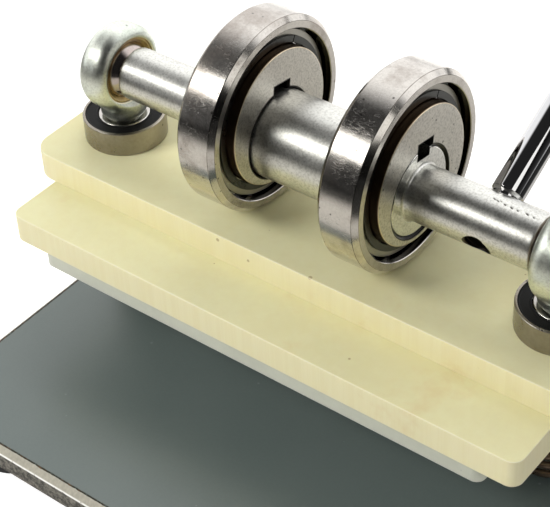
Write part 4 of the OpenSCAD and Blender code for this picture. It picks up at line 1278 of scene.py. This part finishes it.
class PRESS_OT_guides(bpy.types.Operator):
    """Makes the guide bearings on the upper plate: rings, seals, balls and cages"""
    bl_idname = "belt_press.guides"
    bl_label = "Guide bearings"

    def execute(self, context):
        outer, inner, seal = guide_profiles()
        steel = metal("guide_steel", (0.30, 0.272, 0.23), (0.38, 0.345, 0.295), 0.3, 0.05, marks=0.5,
                      mottle=0.25, scale=60.0, dark_specks=0.08, scratches=0.4, wear=0.3,
                      edge_tone=(0.55, 0.52, 0.46))
        bright = metal("guide_inner_steel", (0.50, 0.48, 0.45), (0.58, 0.56, 0.53), 0.2, 0.04,
                       turn=(0, pi / 2, 0))
        rubber = moulded_rubber("seal_rubber", (0.005, 0.005, 0.005), (0.009, 0.009, 0.009), 0.45,
                                shine=0.12)
        ball = metal("guide_ball_steel", (0.66, 0.66, 0.66), (0.7, 0.7, 0.7), 0.08, 0.02)
        brass = metal("cage_brass", (0.6, 0.48, 0.25), (0.5, 0.38, 0.2), 0.3, 0.06)
        for name, s in SIDES:
            origin = (s * ROD_X, 0, GUIDE_Z)
            piece("guide_ring_outer_" + name, [turned(outer, origin, UPRIGHT)], "press",
                  steel, "guide_outer_ring_" + name)
            piece("guide_ring_inner_" + name, [turned(inner, origin, UPRIGHT)], "guide_inner_" + name,
                  bright, "guide_inner_ring_" + name)
            seals = [turned(seal * [1, end, 1], origin, UPRIGHT, 128) for end in (-1, 1)]
            piece("black_seals_" + name, seals, "press", rubber, "guide_seals_" + name)
            dress_node("guide_balls_" + name, ball)
            dress_node("guide_cage_" + name, brass)
        return {"FINISHED"}


def guide_profiles():
    """The profiles of a guide bearing's outer ring, inner ring and upper seal.

    A ring's groove is an arc: radius = the balls' circle plus or minus sqrt(groove ** 2 - z ** 2).
    """
    half, inner_half = GUIDE_W / 2, GUIDE_W / 2 - 0.3 * MM
    groove_r, ball_at = 3.1 * MM, 12.6 * MM
    seat, shelf = GUIDE_R - 1.1 * MM, half - 1.25 * MM

    def ring(wall_r, towards, wall):
        z = np.linspace(1, -1, 15) * sqrt(groove_r ** 2 - (wall_r - ball_at) ** 2)
        groove = np.stack([ball_at + towards * np.sqrt(groove_r ** 2 - z ** 2), z, 0 * z], 1)
        return np.concatenate([rounded(mirrored(wall + [(wall_r, groove_r, 0)]), closed=False), groove])

    outer = ring(GUIDE_OUTER_BORE_R, 1, [
        (GUIDE_R, half, 0.5 * MM), (seat, half, 0.12 * MM), (seat, shelf, 0.05 * MM),
        (GUIDE_OUTER_BORE_R, shelf, 0.05 * MM)])
    inner = ring(GUIDE_INNER_R, -1, [
        (GUIDE_BORE_R, inner_half, 0.7 * MM), (GUIDE_INNER_R, inner_half, 0.5 * MM)])
    low, dip, high = half - 1.2 * MM, half - 0.6 * MM, half - 0.4 * MM
    near, far = GUIDE_INNER_R + 0.3 * MM, seat - FIXED_GAP
    seal = rounded([(near, low, 0.1 * MM), (far, low, 0.1 * MM), (far, high, 0.15 * MM),
                    (seat - 0.7 * MM, high, 0.2 * MM), (seat - 1.0 * MM, dip, 0.1 * MM),
                    (near + 0.9 * MM, dip, 0.1 * MM), (near + 0.6 * MM, high, 0.1 * MM),
                    (near, high, 0.15 * MM)], steps=3)
    return outer, inner, seal


class PRESS_OT_lever(bpy.types.Operator):
    """Makes the chromed lever bar and its rubber grip"""
    bl_idname = "belt_press.lever"
    bl_label = "Lever"

    def execute(self, context):
        foot = ARM_R + FIXED_GAP
        tip, core = foot - STUD_DEPTH, STUD_R - 0.6 * MM
        end = (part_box("lever_bar")[1].z - SHAFT_Z - BAR_R * cos(LEVER_ANGLE)) / sin(LEVER_ANGLE)
        origin = (BAR_X, 0, SHAFT_Z)
        profile = rounded([(0, tip, 0), (core, tip, 0.4 * MM), (core, foot, 0.1 * MM),
                           (BAR_R - 0.9 * MM, foot, 0.25 * MM), (BAR_R, foot + 1.1 * MM, 0.3 * MM),
                           (BAR_R, end, 0.6 * MM), (0, end, 0)], closed=False)
        chrome = metal("lever_chrome", (0.74, 0.74, 0.75), (0.70, 0.70, 0.71), 0.03, 0.01, marks=0.03,
                       mottle=0.05, scale=30.0, scratches=0.12, wear=0.0)
        piece("chrome_lever_bar", [turned(profile, origin, ALONG_LEVER, 96, closed=False)], "shaft",
              chrome, "lever_bar")
        rubber = moulded_rubber("grip_rubber", (0.018, 0.018, 0.019), (0.03, 0.03, 0.031), 0.6)
        piece("ribbed_rubber_grip", [grip_shell(origin, end)], "shaft", rubber,
              "lever_grip", 50)
        return {"FINISHED"}


def grip_shell(origin, end):
    """The grip's radius at each angle a and place s: a collar, a grooved, fluted barrel and a dome.

    The dome is sqrt(GRIP_R ** 2 - (s - barrel) ** 2), the collar's rim is half round, a groove is
    groove_r * sqrt(1 - near ** 2) deep, and a flute is flute_depth * (1 - cos(flutes * a)) / 2 deep.
    """
    turns, flutes, grooves = 96, 24, 9
    collar, rise, groove_r, flute_depth = 4 * MM, 2 * MM, 1.5 * MM, 0.25 * MM
    start, barrel = end + GRIP_CAP - GRIP_L, GRIP_L - GRIP_R
    s = np.concatenate([np.linspace(0, collar, 9), np.linspace(collar, barrel, 240)[1:],
                        barrel + GRIP_R * np.sin(np.linspace(0, pi / 2, 25))[1:]])[:, None]
    pitch = (barrel - collar) / grooves
    phase = ((s - collar) / pitch + 0.5) % 1 - 0.5
    near = np.clip(np.abs(phase) * pitch / groove_r, 0, 1)
    grooved = (s > collar + pitch / 2) & (s < barrel - pitch / 2)
    groove = np.where(grooved, groove_r * np.sqrt(1 - near ** 2), 0)
    flute = flute_depth * (1 - np.cos(flutes * full_turn(turns))) / 2
    on_barrel = np.clip((s - collar - MM) / MM, 0, 1) * np.clip((barrel - s) / MM, 0, 1)
    dome = np.sqrt(np.clip(GRIP_R ** 2 - np.maximum(s - barrel, 0) ** 2, 0, None))
    edge = np.clip(np.minimum(s, collar - s) / (0.8 * MM), 0, 1)
    ring = rise * np.sqrt(1 - (1 - edge) ** 2) * (s <= collar)
    r = dome + ring - groove - flute * on_barrel * np.clip(near * 2 - 1, 0, 1)
    bore, depth = BAR_R + FIXED_GAP, GRIP_L - GRIP_CAP
    inside = rounded([(bore, 0, 0.5 * MM), (bore, depth, 0.2 * MM), (0, depth, 0)], closed=False)[::-1]
    inner = around(inside[:, :1], inside[:, 1:2], turns)
    grid = np.concatenate([inner, around(r, s, turns)]) + [0, 0, start]
    return sleeve(grid, origin, ALONG_LEVER)


# Stage

# The camera was fitted to the plates', base's and shaft's edges in the photograph
CAMERA_AT = (0.309214, -0.405995, 0.443331)
YAW, PITCH, ROLL = radians(-39.658), radians(39.858), radians(-3.037)
FOCAL_PIXELS, IMAGE_WIDTH, SENSOR = 1669.77, 550, 36.0
# Lamps: where they are, and how wide and high. The side one shows only in the big rings' upper chamfers
KEY_AT, KEY_SIZE = (-0.62, -0.80, 0.80), (0.55, 0.34)
SIDE_AT, SIDE_SIZE, SIDE_SHARE = (0.25, -0.05, 0.27), (0.16, 0.12), 0.022
TOP_AT, TOP_SIZE = (-0.15, 0.65, 1.0), (0.9, 0.7)
FILL_AT, FILL_SIZE = (0.45, -0.55, 0.55), (0.35, 0.35)
LIGHT_TONE = (1.0, 0.99, 0.95)
FLOOR_REACH = 30.0


class PRESS_OT_stage(bpy.types.Operator):
    """Makes the floor, the lights, the room and the camera"""
    bl_idname = "belt_press.stage"
    bl_label = "Stage"

    def execute(self, context):
        studio = context.scene.press_studio
        make_floor()
        make_room(studio.room)
        soft_light("key light", KEY_AT, KEY_SIZE, studio.key_power)
        soft_light("key reflection", KEY_AT, KEY_SIZE, studio.shine_power, mirrored_only=True)
        soft_light("side reflection", SIDE_AT, SIDE_SIZE, studio.shine_power * SIDE_SHARE,
                   mirrored_only=True)
        soft_light("top light", TOP_AT, TOP_SIZE, studio.top_power)
        soft_light("fill light", FILL_AT, FILL_SIZE, studio.fill_power)
        make_camera(context)
        context.scene.view_settings.view_transform = "Standard"
        return {"FINISHED"}


def make_camera(context):
    """The photograph's viewpoint: it looks along (sin yaw cos pitch, cos yaw cos pitch, -sin pitch)."""
    ahead = Vector((sin(YAW) * cos(PITCH), cos(YAW) * cos(PITCH), -sin(PITCH)))
    right = ahead.cross(Vector((0, 0, 1))).normalized()
    up = right.cross(ahead)
    rolled_right = right * cos(ROLL) + up * sin(ROLL)
    rolled_up = up * cos(ROLL) - right * sin(ROLL)
    camera = bpy.data.objects.new("camera", bpy.data.cameras.new("camera"))
    context.scene.collection.objects.link(camera)
    turn = Matrix((rolled_right, rolled_up, -ahead)).transposed()
    camera.matrix_world = Matrix.Translation(CAMERA_AT) @ turn.to_4x4()
    camera.data.sensor_fit = "HORIZONTAL"
    camera.data.sensor_width = SENSOR
    camera.data.lens = FOCAL_PIXELS / IMAGE_WIDTH * SENSOR
    camera.data.clip_start, camera.data.clip_end = 0.02, 50
    context.scene.camera = camera


def soft_light(name, place, size, power, mirrored_only=False):
    """A rectangular light that faces the press, and that only mirrors show or that they leave out."""
    light = bpy.data.lights.new(name, "AREA")
    light.shape, light.size, light.size_y, light.energy = "RECTANGLE", *size, power
    light.color = LIGHT_TONE
    light.cycles.use_multiple_importance_sampling = mirrored_only
    obj = bpy.data.objects.new(name, light)
    bpy.context.scene.collection.objects.link(obj)
    aim = Vector((0, 0, SHAFT_Z / 2)) - Vector(place)
    obj.matrix_world = Matrix.Translation(place) @ aim.to_track_quat("-Z", "Y").to_matrix().to_4x4()
    obj.visible_camera = False
    obj.visible_glossy, obj.visible_diffuse = mirrored_only, not mirrored_only


def ray_kinds(t):
    """Whether a ray comes from the camera, from a mirror, or through something clear."""
    path = t.tree.nodes.new("ShaderNodeLightPath").outputs
    return path["Is Camera Ray"], path["Is Glossy Ray"], path["Is Transmission Ray"]


def make_floor():
    """A white floor under the feet. What the camera sees of it is lifted to white, and keeps shadows.

    Mirrors see white behind the press, and a table that gets dark far away and at the right.
    """
    corners = [(x * FLOOR_REACH, y * FLOOR_REACH, STAND_Z)
               for x, y in ((-1, -1), (1, -1), (1, 1), (-1, 1))]
    mesh = bpy.data.meshes.new("floor")
    mesh.from_pydata(corners, [], [(0, 1, 2, 3)])
    floor = bpy.data.objects.new("floor", mesh)
    bpy.context.scene.collection.objects.link(floor)
    material, t, surface = new_material("floor_white")
    camera, glossy, through = ray_kinds(t)
    co = t.coordinates()
    away = t("VectorMath", co, operation="LENGTH", out="Value")
    x, y, _ = t.split(co)
    right = t.ramp(x, 0.19, 0.27)
    behind = t.times(t.ramp(y, 0.1, 0.45), t.minus(1.0, right))
    dark = t.larger(t.times(t.ramp(away, 0.3, 0.7), t.minus(1.0, behind)), right)
    table = t.mix(dark, (0.80, 0.78, 0.75), (0.045, 0.045, 0.045))
    lift = t.times(t.times(behind, glossy), 0.8)
    glow = t.plus(t.times(t.larger(camera, through), 0.55), lift)
    t.fill(surface, Base_Color=t.mix(glossy, (0.86, 0.86, 0.86), table), Roughness=0.9,
           Specular_IOR_Level=0.0, Emission_Color=(1, 1, 1), Emission_Strength=glow)
    mesh.materials.append(material)


def make_room(level):
    """A plain grey room for soft light, which the camera sees as white.

    Mirrors see it bright at the back and the left, grey below, and dark in front and at the right.
    """
    world = bpy.data.worlds.new("room")
    bpy.context.scene.world = world
    world.use_nodes = True
    t = Tree(world.node_tree)
    camera, glossy, through = ray_kinds(t)
    x, y, z = t.split(t("TexCoord", out="Generated"))
    right = t.times(t.ramp(x, 0.6, 0.75), t.ramp(y, 0.5, 0.3))
    back = t.times(t.ramp(y, -0.06, 0.48, 0.02, 1.5), t.minus(1.0, t.times(right, 0.97)))
    left = t.times(t.ramp(x, -0.54, -0.75), 1.15)
    low = t.times(t.ramp(z, 0.02, -0.05), 0.55)
    mirrored_room = t.larger(t.larger(back, left), low)
    value = t.between(t.larger(glossy, through), level, mirrored_room)
    t.fill(world.node_tree.nodes["Background"], Color=(1, 1, 1), Strength=t.between(camera, value, 1.0))


# Panel and add-on

OPERATORS = (PRESS_OT_base, PRESS_OT_feet, PRESS_OT_rod_ends, PRESS_OT_joints, PRESS_OT_springs,
             PRESS_OT_shaft, PRESS_OT_discs, PRESS_OT_rings, PRESS_OT_cages, PRESS_OT_plates,
             PRESS_OT_pad, PRESS_OT_guides, PRESS_OT_lever, PRESS_OT_stage)
SETTINGS = (("press_sizes", PressSizes), ("press_colours", PressColours),
            ("press_studio", StudioSettings))


class PRESS_PT_panel(bpy.types.Panel):
    """Lists the press's sizes, colours and pieces"""
    bl_idname = "PRESS_PT_panel"
    bl_label = "Belt press"
    bl_space_type = "VIEW_3D"
    bl_region_type = "UI"
    bl_category = "Belt press"

    def draw(self, context):
        for name, group in SETTINGS:
            box = self.layout.box()
            for key in group.__annotations__:
                box.prop(getattr(context.scene, name), key)
        column = self.layout.column()
        for operator in OPERATORS:
            column.operator(operator.bl_idname)


def register():
    """Registers the properties, operators and panel."""
    for name, group in SETTINGS:
        bpy.utils.register_class(group)
        setattr(bpy.types.Scene, name, PointerProperty(type=group))
    for operator in OPERATORS:
        bpy.utils.register_class(operator)
    bpy.utils.register_class(PRESS_PT_panel)


def unregister():
    """Removes what register added."""
    bpy.utils.unregister_class(PRESS_PT_panel)
    for operator in reversed(OPERATORS):
        bpy.utils.unregister_class(operator)
    for name, group in reversed(SETTINGS):
        delattr(bpy.types.Scene, name)
        bpy.utils.unregister_class(group)


def main():
    """Makes the whole press."""
    register()
    make_groups()
    for operator in OPERATORS:
        module, name = operator.bl_idname.split(".")
        getattr(getattr(bpy.ops, module), name)()
    bpy.context.view_layer.update()


if __name__ == "__main__":
    main()
